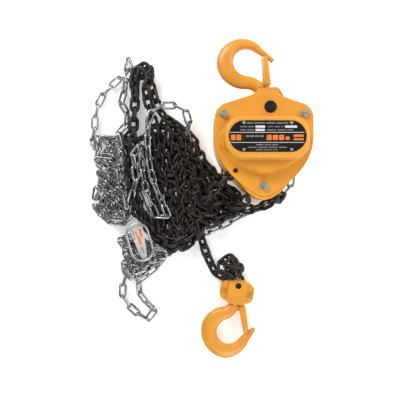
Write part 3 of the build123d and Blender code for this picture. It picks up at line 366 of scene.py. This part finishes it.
# The tag's own generic mark, on its upper face: bars as above, along the tag's x and y
TAG_ORIGIN = np.array([-250.0, -206.0, 47.2])
TAG_X = np.array([0.28, -0.96, 0.0])
TAG_Y = np.array([0.96, 0.28, 0.0])
TAG_BARS = {
    "orange": [(-27, -9, 7.0, 5.0), (-12, 6, 0.0, 5.5), (-24, -12, -2.5, 3.0)],
    "grey": [(-26, -6, -8.5, 1.6), (10, 26, 1.6, 1.6), (10, 22, -2.6, 1.4)],
}
for name, material in (("orange", PRINT_ORANGE), ("grey", PRINT_GREY)):
    points, faces = bars_mesh(TAG_BARS[name], PRINT_FOOT, PRINT_TOP)
    placed = [tuple(TAG_ORIGIN + TAG_X * x + TAG_Y * y + np.array([0.0, 0.0, z])) for x, y, z in points]
    tag_mark = new_mesh(f"tag_{name}_mark", placed, faces, material, False)
    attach(tag_mark, "tag")

# ---------------------------------------------------------------- forged hooks


def arc(start, middle, end, count=14):
    """Points on the circle through three points, from the first to the last."""
    (ax, ay), (bx, by), (cx, cy) = start, middle, end
    turn = 2 * (ax * (by - cy) + bx * (cy - ay) + cx * (ay - by))
    aa, bb, cc = ax * ax + ay * ay, bx * bx + by * by, cx * cx + cy * cy
    centre = np.array([
        (aa * (by - cy) + bb * (cy - ay) + cc * (ay - by)) / turn,
        (aa * (cx - bx) + bb * (ax - cx) + cc * (bx - ax)) / turn,
    ])
    radius = np.linalg.norm(np.array(start) - centre)
    first, through, last = (np.arctan2(p[1] - centre[1], p[0] - centre[0]) for p in (start, middle, end))
    sweep = (last - first) % (2 * pi)
    if (through - first) % (2 * pi) > sweep:
        sweep -= 2 * pi
    angles = [first + sweep * k / count for k in range(count + 1)]
    return [tuple(centre + radius * np.array([cos(angle), sin(angle)])) for angle in angles]


def shared_out(points, count):
    """Points spaced evenly along a broken line."""
    points = np.array(points, float)
    lengths = np.concatenate([[0], np.cumsum(np.linalg.norm(np.diff(points, axis=0), axis=1))])
    places = np.linspace(0, lengths[-1], count)
    return np.stack([np.interp(places, lengths, points[:, i]) for i in (0, 1)], axis=1)


# A hook's own plane: its bowl is round about 0, 0 and its neck runs along y
BOWL = 26
BOWL_ARC = [(BOWL * cos(radians(a)), BOWL * sin(radians(a))) for a in range(-25, -206, -5)]
HOOK_TIPS = {"top": (45, 22.5), "bottom": (50, 20.5)}
HOOK_INSIDE = [
    [(37.6, 7.6), (34, 4), BOWL_ARC[0]],
    BOWL_ARC,
    arc(BOWL_ARC[-1], (-17.5, 20.5), (-9, 27)),
    arc((-9, 27), (3.5, 38.5), (9.5, 52)) + [(11, 60)],
]
HOOK_OUTSIDE = {
    "top": [
        [(52.5, 18.5), (39.5, -10)],
        arc((39.5, -10), (20, -40.5), (-14, -50)) + arc((-14, -50), (-46, -36), (-58.5, 2)),
        arc((-58.5, 2), (-47, 30), (-24, 48)),
        arc((-24, 48), (-15, 54), (-11, 60)),
    ],
    "bottom": [
        [(56, 15), (46, -11)],
        arc((46, -11), (34, -37), (4, -57)) + arc((4, -57), (-42, -41), (-60.5, 5)),
        arc((-60.5, 5), (-49, 33), (-24, 50.5)),
        arc((-24, 50.5), (-16, 54.5), (-11, 60)),
    ],
}
HOOK_STATIONS = (8, 30, 8, 10)  # how many sections each stretch has, from the tip to the neck
TOP_TURN = radians(25)
BOTTOM_TURN = radians(11)
# Where each hook's plane lies: its origin, then its x, y and z axes
HOOK_PLACES = {
    "top": (
        (-31.9, 156.1, 96),
        (cos(TOP_TURN), sin(TOP_TURN), 0),
        (sin(TOP_TURN), -cos(TOP_TURN), 0),
        (0, 0, -1),
    ),
    "bottom": (
        (-62, -403, 17),
        (cos(BOTTOM_TURN), -sin(BOTTOM_TURN), 0),
        (sin(BOTTOM_TURN), cos(BOTTOM_TURN), 0),
        (0, 0, 1),
    ),
}
TIP_THICK = 5.5  # half the forging's thickness at its tip
BOWL_THICK = 11.0  # and in its bowl and neck
BLUNT_THICK = 2.6
THICKENS_OVER = 0.22  # the share of the hook's length in which it grows from one to the other
OUTER_TAPER = 0.22  # how much thinner the forging is at its outer edge than at its inner one
BLUNT_SHARE = 0.6  # how far the tip's end section closes in
BLUNT_REACH = 1 / 9
COLLARS = ((59, 72, 11), (70.2, 80, 15))  # the neck and its collar: from y, to y, radius
EAR = [(4, 48), (18, 51.4), (21.6, 52.4), (23.4, 55), (23.2, 57.6), (21, 59.9), (18, 60.6), (4, 62)]
EAR_HALF = 6


def forged_ring(inner, outer, thick, count=28, fullness=2.7):
    """One section of the forging: rounded faces between its inner and outer points."""
    middle, half = (inner + outer) / 2, (outer - inner) / 2
    ring = []
    for k in range(count):
        angle = 2 * pi * k / count
        across = np.sign(cos(angle)) * abs(cos(angle)) ** (2 / fullness)
        up = np.sign(sin(angle)) * abs(sin(angle)) ** (2 / fullness)
        taper = 1 - OUTER_TAPER * max(0, across)
        ring.append((*(middle + half * across), thick * up * taper))
    return ring


def round_bar(y_low, y_high, radius, step=1.2, count=28):
    """A short round bar along y with rounded rims."""
    rings = []
    eased = radius - step
    for y, r in ((y_low, eased), (y_low + step, radius), (y_high - step, radius), (y_high, eased)):
        rings.append([(r * cos(2 * pi * k / count), y, r * sin(2 * pi * k / count)) for k in range(count)])
    return skin(rings)


def forged_hook(side):
    """A hook with rounded faces, its neck and collar, and the ear that carries the latch."""
    pairs = []
    insides = [[HOOK_TIPS[side]] + HOOK_INSIDE[0]] + HOOK_INSIDE[1:]
    for inside, outside, count in zip(insides, HOOK_OUTSIDE[side], HOOK_STATIONS):
        found = list(zip(shared_out(inside, count), shared_out(outside, count)))
        pairs += found if not pairs else found[1:]
    total = len(pairs) - 1
    rings = []
    tip_inner, tip_outer = pairs[0]
    # The tip's end closes in a little further on, the way its first sections run
    blunt = (tip_inner + tip_outer) / 2 + (tip_inner - pairs[3][0]) * BLUNT_REACH
    end_points = [blunt * BLUNT_SHARE + point * (1 - BLUNT_SHARE) for point in (tip_inner, tip_outer)]
    rings.append(forged_ring(*end_points, BLUNT_THICK))
    for i, (inner, outer) in enumerate(pairs):
        grown = min(1, i / (THICKENS_OVER * total))
        thick = TIP_THICK + (BOWL_THICK - TIP_THICK) * sin(grown * pi / 2)
        rings.append(forged_ring(inner, outer, thick))
    ear_rings = [[(x, y, z) for x, y in EAR] for z in (-EAR_HALF, EAR_HALF)]
    return joined([skin(rings), *(round_bar(*collar) for collar in COLLARS), skin(ear_rings)])


# The latch runs from its pivot towards its end, in the hook's plane. Its outlines are along and across it.
LATCH_PIVOT = np.array([19.0, 56.0])
LATCH_END = np.array([34.0, 6.0])
LATCH_EYE = 7
LATCH_NOSE = [(50, -3.3), (52.6, -1.6), (53.6, 2), (52.6, 5.6), (50, 7.3)]
LATCH_CHEEK = [(LATCH_EYE * cos(radians(a)), LATCH_EYE * sin(radians(a))) for a in range(90, 271, 15)]
LATCH_CHEEK += LATCH_NOSE
LATCH_WEB = [(3, -6.9), (46, -3.6), (46, -2.2), (3, -5.4)]
PIN_HEAD = 3.6
PIN_HEAD_POINTS = 20
LATCH_HEAD = [
    (PIN_HEAD * cos(2 * pi * k / PIN_HEAD_POINTS), PIN_HEAD * sin(2 * pi * k / PIN_HEAD_POINTS))
    for k in range(PIN_HEAD_POINTS)
]
# From the hook's middle plane: the web's half width, and where a cheek and a pin's head begin and end
WEB_HALF = 8.5
CHEEK_FROM, CHEEK_TO = 8.3, 9.9
HEAD_FROM, HEAD_TO = 9.7, 11.2


def soft_sheet(outline, low, high, step=0.35):
    """A flat sheet with eased rims, from an outline along and across the latch."""
    rings = []
    middle_u, middle_v = np.mean(outline, axis=0)
    for z, share in ((low, 0.94), (low + step, 1.0), (high - step, 1.0), (high, 0.94)):
        long_share = (2 + share) / 3
        rings.append([
            (middle_u + (u - middle_u) * long_share, middle_v + (v - middle_v) * share, z)
            for u, v in outline
        ])
    return skin(rings)


def sheet_latch():
    """A folded sheet latch astride the hook: two cheeks, the web between them and the pin's heads."""
    parts = [soft_sheet(LATCH_WEB, -WEB_HALF, WEB_HALF)]
    for sign in (-1, 1):
        parts.append(soft_sheet(LATCH_CHEEK, *sorted((sign * CHEEK_FROM, sign * CHEEK_TO))))
        parts.append(soft_sheet(LATCH_HEAD, *sorted((sign * HEAD_FROM, sign * HEAD_TO))))
    points, faces = joined(parts)
    along = (LATCH_END - LATCH_PIVOT) / np.linalg.norm(LATCH_END - LATCH_PIVOT)
    across = np.array([-along[1], along[0]])
    return [(*(LATCH_PIVOT + along * u + across * v), z) for u, v, z in points], faces


for side, (origin, x_axis, y_axis, z_axis) in HOOK_PLACES.items():
    turn = np.array([x_axis, y_axis, z_axis])
    for body, suffix, (points, faces) in (
        (f"{side}_hook", "forging", forged_hook(side)), (f"{side}_latch", "sheet", sheet_latch()),
    ):
        placed = [tuple(np.array(p) @ turn + np.array(origin)) for p in points]
        painted_piece = new_mesh(f"{body}_{suffix}", placed, faces, FORGED_PAINT)
        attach(painted_piece, body)
        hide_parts(body)

# ---------------------------------------------------------------- chain: lines

# A link: its wire, its pitch, half its width between the wire's middles, its inside length, which is a
# little over the pitch so that neighbours have play, and its width outside
LOAD = {"wire": 7.1, "pitch": 21.0, "half_width": 8.25, "inner": 21.8, "outside": 23.6}
HAND = {"wire": 5.0, "pitch": 25.0, "half_width": 6.25, "inner": 25.6, "outside": 17.5}
UP = np.array([0.0, 0.0, 1.0])
HALVINGS = 24  # a point on a line is found by halving, to far under a micrometre
TIGHTEST, LOOSEST, PITCHES_TRIED = 0.975, 1.02, 31  # shares of the pitch that a chain is tried with
RESTING_ROLL = 45  # links lie at 45 degrees to either side, give or take the next two values
ROLL_SWAY = 22
ROLL_SCATTER = 4
MOST_WOBBLE = 1.6
LEAST_LEVEL = 0.25  # a link steeper than this takes its sideways direction from y instead
SWAY_LINKS = 5  # the sway changes over about this many links
END_LINKS = 3  # and gives way to the end's own roll over this many


def nurbs_line(name, route):
    """The smooth line that a route's points control, as an array of points in millimetres."""
    curve = bpy.data.curves.new(name, "CURVE")
    curve.dimensions = "3D"
    spline = curve.splines.new("NURBS")
    spline.points.add(len(route) - 1)
    for point, place in zip(spline.points, route):
        point.co = (*(c * MM for c in place), 1)
    spline.order_u = 3
    spline.use_endpoint_u = True
    spline.resolution_u = 10
    holder = bpy.data.objects.new(name, curve)
    bpy.context.scene.collection.objects.link(holder)
    mesh = bpy.data.meshes.new_from_object(holder)
    line = np.array([v.co for v in mesh.vertices], float).reshape(-1, 3) / MM
    bpy.data.objects.remove(holder)
    bpy.data.meshes.remove(mesh)
    bpy.data.curves.remove(curve)
    return line


def stepped_nodes(line, step):
    """Points on a line, each one step from the last in a straight line, and what is left over."""
    found = [line[0]]
    here = line[0]
    index = 1
    while index < len(line):
        if np.linalg.norm(line[index] - here) < step:
            index += 1
            continue
        before, after = line[index - 1], line[index]
        if np.linalg.norm(before - here) >= step:
            before = here
        low, high = 0.0, 1.0
        for _ in range(HALVINGS):
            middle = (low + high) / 2
            if np.linalg.norm(before + (after - before) * middle - here) < step:
                low = middle
            else:
                high = middle
        here = before + (after - before) * high
        found.append(here)
    return np.array(found), np.linalg.norm(line[-1] - here)


def chain_nodes(line, pitch):
    """Where the links of a chain meet along a line, with the pitch eased so that they fill it."""
    shares = np.linspace(TIGHTEST, LOOSEST, PITCHES_TRIED)
    tried = [stepped_nodes(line, pitch * share) for share in shares]
    nodes, _ = min(tried, key=lambda found: found[1])
    return nodes


def wobble(rng, count, smooth):
    """Smooth random values, mostly from -1 to 1."""
    raw = rng.normal(size=count + 2 * smooth)
    window = np.hanning(2 * smooth + 1)
    values = np.convolve(raw, window / np.sqrt((window**2).sum()), "valid")
    return np.clip(values[:count], -MOST_WOBBLE, MOST_WOBBLE)


def link_rings(centre, along, across, size, rings=22, sides=8):
    """The wire's rings of one stadium-shaped link."""
    half = size["half_width"]
    straight = size["inner"] / 2 + size["wire"] / 2 - half
    out = np.cross(along, across)
    bends = rings // 2 - 1
    spots = []
    for end in (1, -1):
        for i in range(bends + 1):
            angle = -pi / 2 + pi * i / bends
            if end < 0:
                angle += pi
            spots.append(((end * straight + half * cos(angle), half * sin(angle)), angle))
    made = []
    for (x, y), angle in spots:
        place = centre + along * x + across * y
        outward = along * cos(angle) + across * sin(angle)
        ring = []
        for j in range(sides):
            turn = 2 * pi * j / sides
            ring.append(place + (outward * cos(turn) + out * sin(turn)) * size["wire"] / 2)
        made.append(ring)
    return made


def links_mesh(nodes, size, start_roll, end_roll, rng, floor=0.3):
    """Every link along a chain, each turned a quarter against its neighbour, as points and faces."""
    count = len(nodes) - 1
    sway = wobble(rng, count, SWAY_LINKS)
    tilt = rng.normal(size=count) * ROLL_SCATTER
    parts = []
    for i in range(count):
        start, end = nodes[i], nodes[i + 1]
        along = (end - start) / np.linalg.norm(end - start)
        side = np.cross(along, UP)
        if np.linalg.norm(side) < LEAST_LEVEL:
            side = np.cross(along, np.array([0.0, 1.0, 0.0]))
        side /= np.linalg.norm(side)
        rise = np.cross(side, along)
        quarter = 90 * (i % 2)
        base = RESTING_ROLL + ROLL_SWAY * sway[i] + tilt[i]
        near, far = exp(-i / END_LINKS), exp(-(count - 1 - i) / END_LINKS)
        base += (start_roll - base) * near
        last = 90 * ((count - 1) % 2)
        base += ((end_roll - last) % 180 - base) * far
        roll = radians(base + quarter)
        across = side * cos(roll) + rise * sin(roll)
        centre = (start + end) / 2
        reach = size["half_width"] * abs(across[2]) + size["wire"] / 2 + floor
        reach += size["inner"] / 2 * abs(along[2])
        if centre[2] < reach:
            centre = centre + UP * (reach - centre[2])
        rings = link_rings(centre, along, across, size)
        parts.append(skin(rings, caps=False, closed=True))
    return joined(parts)


LEAST_LANE = 14


def lanes_inside(corners, lane_way, lane_side, spacing, inset):
    """Straight lanes across an outline, as (height, from, to), with each lane's longest span."""
    heights = corners @ lane_side
    low, high = heights.min() + inset, heights.max() - inset
    count = max(2, round((high - low) / spacing) + 1)
    lanes = []
    for height in np.linspace(low, high, count):
        hits = []
        for first, second in zip(corners, np.roll(corners, -1, axis=0)):
            above_first = first @ lane_side - height
            above_second = second @ lane_side - height
            if above_first * above_second < 0:
                crossing = first + (second - first) * above_first / (above_first - above_second)
                hits.append(crossing @ lane_way)
        hits.sort()
        spans = [
            (left + inset, right - inset)
            for left, right in zip(hits[::2], hits[1::2])
            if right - left > 2 * inset + LEAST_LANE
        ]
        if spans:
            lanes.append((height, *max(spans, key=lambda span: span[1] - span[0])))
    return lanes


def serpentine(outline, angle, spacing, z, rng, near, inset=12, stride=30, sway=3.0, lift=1.5):
    """Turns back and forth inside an outline, from the corner nearest to a point, as route points."""
    lane_way = np.array([cos(radians(angle)), sin(radians(angle))])
    lane_side = np.array([-lane_way[1], lane_way[0]])
    lanes = lanes_inside(np.array(outline, float), lane_way, lane_side, spacing, inset)
    options = []
    for order in (lanes, lanes[::-1]):
        for flip in (False, True):
            height, left, right = order[0]
            first = lane_way * (right if flip else left) + lane_side * height
            options.append((np.linalg.norm(first - np.array(near[:2])), order, flip))
    _, order, flip = min(options, key=lambda option: option[0])
    route = []
    for index, (height, left, right) in enumerate(order):
        start, end = (right, left) if flip != bool(index % 2) else (left, right)
        steps = max(1, round(abs(end - start) / stride))
        for k in range(steps + 1):
            along = start + (end - start) * k / steps
            place = lane_way * along + lane_side * (height + rng.uniform(-sway, sway))
            route.append((place[0], place[1], z + rng.uniform(-lift, lift)))
    return route


# ---------------------------------------------------------------- chain: routes

# Outlines of the heaps' layers, seen from above: load chain first, then hand chain
PILE = [
    (-231, 66), (-200, 74), (-170, 74), (-136, 22), (-114, -10), (-106, -40), (-92, -62),
    (-68, -88), (-38, -112), (-30, -142), (-112, -182), (-126, -222), (-142, -232),
    (-190, -252), (-222, -226), (-232, -170), (-233, -40),
]
PILE_TOP = [
    (-210, 64), (-186, 62), (-150, 12), (-136, -30), (-128, -66), (-100, -96), (-62, -122),
    (-62, -150), (-112, -178), (-126, -216), (-142, -226), (-188, -244), (-208, -222),
]
PILE_MIXED = [
    (-196, 40), (-170, 40), (-136, -20), (-120, -80), (-118, -150), (-128, -206), (-184, -232),
    (-206, -200),
]
BODY_SIDE = [
    (-142, -16), (-112, -18), (-103, -42), (-90, -62), (-64, -84), (-36, -106), (-12, -140),
    (-60, -164), (-112, -182), (-146, -150), (-150, -80),
]
HANK_FILL = [(-288, 38), (-226, 40), (-226, -98), (-254, -104), (-268, -120), (-284, -60)]
TOP_KNOT = [(-266, 170), (-240, 184), (-222, 168), (-220, 140), (-240, 118), (-266, 122)]
LEFT_HEAP = [
    (-346, 30), (-320, 38), (-296, 34), (-280, 18), (-274, -70), (-260, -128), (-252, -164),
    (-290, -184), (-330, -160), (-364, -132), (-362, -104), (-342, -96), (-352, -60),
    (-356, -20),
]
LOWER_HEAP = [
    (-310, -170), (-290, -186), (-262, -176), (-230, -208), (-182, -230), (-178, -246),
    (-222, -270), (-248, -292), (-292, -298), (-306, -256), (-316, -210),
]

# The load chain's way out of the body, through its heap and to the bottom block
FALL_ROUTE = [
    (25.35, -94.5, 96), (27, -112, 94), (36, -120, 82), (46, -112, 64), (49, -104, 44), (40, -114, 28),
    (20, -128, 22), (-4, -137, 24), (-28, -138, 28), (-54, -140, 28),
]
SLACK_ROUTE = [
    (-25.35, -94.5, 96), (-28, -114, 93), (-35, -126, 78), (-44, -130, 56), (-60, -128, 38),
    (-84, -118, 30),
]
SLACK_TO_HANK = [
    (-108, -92, 28), (-118, -56, 28), (-122, -24, 28), (-134, 6, 28), (-152, 22, 28), (-176, 44, 30),
]
HANK_PASS = [
    (-207, 62, 30), (-219, 96, 26), (-229, 128, 18), (-238, 160, 14), (-243, 178, 13),
    (-255, 184, 12), (-262, 168, 11), (-262, 140, 11), (-264, 110, 11), (-268, 70, 11),
    (-271, 20, 11), (-272, -30, 11), (-271, -75, 11), (-266, -105, 11), (-258, -131, 11),
    (-244, -161, 11), (-224, -186, 12),
]
HANK_BACK = [
    (-204, -196, 24), (-212, -160, 29), (-217, -110, 29), (-218, -60, 29), (-216, -10, 29), (-220, 36, 29),
    (-229, 70, 28), (-238, 100, 28), (-242, 122, 30),
]
HANK_DOWN = [
    (-254, 176, 30), (-266, 160, 29), (-268, 134, 28), (-262, 104, 28), (-264, 66, 28),
    (-267, 18, 28), (-274, -34, 28), (-270, -80, 28), (-262, -112, 28), (-252, -144, 28),
    (-236, -172, 28), (-216, -204, 20), (-196, -226, 12),
]
ANCHOR_ROUTE = [
    (-122, -124, 34), (-112, -124, 52), (-108, -112, 72), (-100, -97, 89), (-84.5, -84.5, 96),
]
FILL_EXIT = [(-266, -124, 28), (-256, -152, 28), (-238, -180, 28)]
HOOK_ROUTE = [
    (-204, -204, 30), (-180, -212, 42), (-152, -196, 42), (-126, -170, 26), (-122, -198, 16),
    (-114, -225, 11), (-104, -250, 11), (-96, -266, 12), (-88, -280, 16),
]
# The loops that lie on the bottom block, down to its chain pin
BLOCK_ROUTE = [
    (-72, -288, 16), (-52, -276, 18), (-44, -252, 18), (-60, -236, 20), (-79, -248, 26), (-79, -272, 32),
    (-60, -284, 36), (-43, -270, 40), (-44, -246, 42), (-64, -242, 44), (-72, -262, 46), (-58, -270, 46),
    (-44, -258, 44), (-35, -256, 34), (-35, -268, 24), (-37.9, -278.8, 17),
]
# The hand chain's way out of the body, its two strands beside the heaps, and its way back
NEAR_ROUTE = [
    (-70.9, -62.5, 28), (-73.9, -90.5, 30), (-92, -103, 30), (-108, -86, 26), (-116, -56, 24),
    (-130, -30, 22), (-146, -8, 24), (-154, 18, 34), (-144, 52, 40), (-160, 80, 38),
    (-190, 82, 44), (-214, 78, 50), (-230, 62, 52), (-234, 24, 52), (-233, -16, 52),
    (-228, -56, 52), (-216, -96, 52), (-200, -128, 50), (-190, -152, 48),
]
DOUBLED_ROUTE = [
    (-186, -172, 46), (-202, -176, 46), (-218, -150, 46), (-232, -112, 46), (-244, -70, 48),
    (-246, -30, 50), (-250, 4, 50), (-262, 14, 48), (-268, -8, 46), (-262, -44, 46),
    (-256, -78, 46), (-268, -104, 40),
]
INNER_ROUTE = [
    (-286, 26, 12), (-286, 44, 9), (-281, 62, 8), (-284, 82, 8), (-300, 96, 8), (-316, 107, 9),
    (-308, 116, 14), (-290, 108, 16), (-284, 128, 14), (-286, 146, 16), (-272, 160, 18),
    (-266, 178, 18), (-280, 190, 16), (-292, 178, 14), (-284, 162, 22), (-268, 150, 26),
    (-262, 166, 28), (-276, 176, 30), (-290, 160, 30), (-280, 142, 28), (-270, 130, 26),
]
OUTER_ROUTE = [
    (-284, 146, 24), (-298, 148, 14), (-316, 130, 8), (-333, 116, 8), (-345, 92, 8),
    (-353, 66, 8), (-350, 42, 8), (-361, 22, 8), (-357, 2, 8), (-345, -12, 20),
]
TAIL_ROUTE = [
    (-292, -290, 18), (-291, -312, 8), (-294, -330, 8), (-280, -345, 8), (-270, -360, 8),
    (-250, -370, 8), (-230, -382, 8), (-215, -373, 8), (-222, -354, 8), (-240, -342, 8),
    (-252, -328, 8), (-260, -311, 8), (-258, -292, 18),
]
RETURN_ROUTE = [
    (-214, -238, 12), (-176, -210, 8), (-140, -198, 8), (-99, -185, 9), (-57, -165, 11),
    (-27, -146, 9), (14, -133, 8), (46, -116, 8), (68, -98, 14), (72.9, -82, 24), (70.9, -62.5, 28),
]

SEED = 11
LOAD_LOWEST = 12.4  # the least height of a route's points, so that the links clear the floor
HAND_LOWEST = 10.2

rng = np.random.default_rng(SEED)
fall = FALL_ROUTE + serpentine(BODY_SIDE, -32, 18, 30, rng, FALL_ROUTE[-1], 8, sway=5)
fall += serpentine(PILE_MIXED, 52, 24, 27, rng, fall[-1], sway=8)
fall += serpentine(PILE_TOP, 106, 21, 31, rng, fall[-1], sway=7)
fall += serpentine(HANK_FILL, 93, 15, 28, rng, fall[-1], 6) + FILL_EXIT + HOOK_ROUTE
fall += BLOCK_ROUTE
slack = SLACK_ROUTE + serpentine(BODY_SIDE, -40, 19, 12, rng, SLACK_ROUTE[-1], 8, sway=5)
slack += SLACK_TO_HANK + HANK_PASS + HANK_BACK
slack += serpentine(TOP_KNOT, 70, 15, 30, rng, HANK_BACK[-1], 9, stride=22) + HANK_DOWN
slack += serpentine(PILE, 97, 19, 11, rng, HANK_DOWN[-1], sway=4) + ANCHOR_ROUTE
hand = NEAR_ROUTE + DOUBLED_ROUTE
hand += serpentine(LEFT_HEAP, -28, 15, 9, rng, DOUBLED_ROUTE[-1], 8) + INNER_ROUTE + OUTER_ROUTE
hand += serpentine(LEFT_HEAP, 62, 15, 20, rng, OUTER_ROUTE[-1], 8)
hand += serpentine(LEFT_HEAP, -40, 15, 31, rng, hand[-1], 8)
hand += serpentine(LOWER_HEAP, -35, 14, 9, rng, hand[-1], 8) + TAIL_ROUTE
hand += serpentine(LOWER_HEAP, 50, 14, 20, rng, TAIL_ROUTE[-1], 8)
hand += serpentine(LOWER_HEAP, -20, 14, 31, rng, hand[-1], 8) + RETURN_ROUTE

fall, slack = ([(x, y, max(z, LOAD_LOWEST)) for x, y, z in route] for route in (fall, slack))
hand = [(x, y, max(z, HAND_LOWEST)) for x, y, z in hand]

# Name, route, size of link, material, roll of the first and the last link, slot, and what it replaces
CORDS = [
    ("load_chain_to_hook", fall, LOAD, CHAIN_BLACK, 90, 90, "black_steel",
     ["load_chain_fall", "load_chain_hook_run"]),
    ("load_chain_to_anchor", slack, LOAD, CHAIN_BLACK, 90, 0, "black_steel",
     ["load_chain_slack", "load_chain_pile"]),
    ("hand_chain_loop", hand, HAND, CHAIN_ZINC_WITH_SHADE, 90, 0, "zinc",
     ["hand_chain_near_run", "hand_chain_outer_run", "hand_chain_tail", "hand_chain_return",
      "hand_chain_heaps"]),
]
for name, route, size, material, start_roll, end_roll, slot, replaced in CORDS:
    line = nurbs_line(name + "_line", route)
    nodes = chain_nodes(line, size["pitch"])
    points, faces = links_mesh(nodes, size, start_roll, end_roll, rng)
    chain = new_mesh(name, points, faces, material)
    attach(chain, "frame")
    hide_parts(*replaced)

# ---------------------------------------------------------------- floor and light

WHITE = (1, 1, 1, 1)
FLOOR_HALF = 4000
FLOOR_GLOW = 0.35  # lifts the floor to the pale studio white without burning out the shadows
WORLD_STRENGTH = 0.36

floor_material, nodes, links, shader = node_material("floor")
links.new(
    ramp(nodes, links, noise(nodes, links, 3, 3), [(0.3, (0.93, 0.93, 0.93)), (0.7, (0.95, 0.95, 0.95))]),
    shader.inputs["Base Color"],
)
shader.inputs["Roughness"].default_value = 0.9
shader.inputs["Specular IOR Level"].default_value = 0.1
shader.inputs["Emission Color"].default_value = WHITE
shader.inputs["Emission Strength"].default_value = FLOOR_GLOW
floor_corners = [(x * FLOOR_HALF, y * FLOOR_HALF, 0) for x, y in ((-1, -1), (1, -1), (1, 1), (-1, 1))]
floor_piece = new_mesh("floor", floor_corners, [(0, 1, 2, 3)], floor_material)

# Name, place and size in metres, power in watts
LIGHTS = [
    ("key", (-1.1, 1.3, 1.5), 1.1, 33),
    ("fill", (1.5, 0.5, 1.2), 1.2, 18),
    ("front", (0.2, -1.8, 1.2), 1.3, 19),
]
AIM = Vector((-0.1, -0.1, 0.05))
for name, place, size, power in LIGHTS:
    light = bpy.data.lights.new(name, "AREA")
    light.size = size
    light.energy = power
    holder = bpy.data.objects.new(name, light)
    holder.location = place
    holder.rotation_euler = (AIM - Vector(place)).to_track_quat("-Z", "Y").to_euler()
    bpy.context.scene.collection.objects.link(holder)

world = bpy.data.worlds.new("studio")
bpy.context.scene.world = world
world.use_nodes = True
background = world.node_tree.nodes["Background"]
background.inputs["Color"].default_value = WHITE
background.inputs["Strength"].default_value = WORLD_STRENGTH
bpy.context.scene.view_settings.view_transform = "Standard"
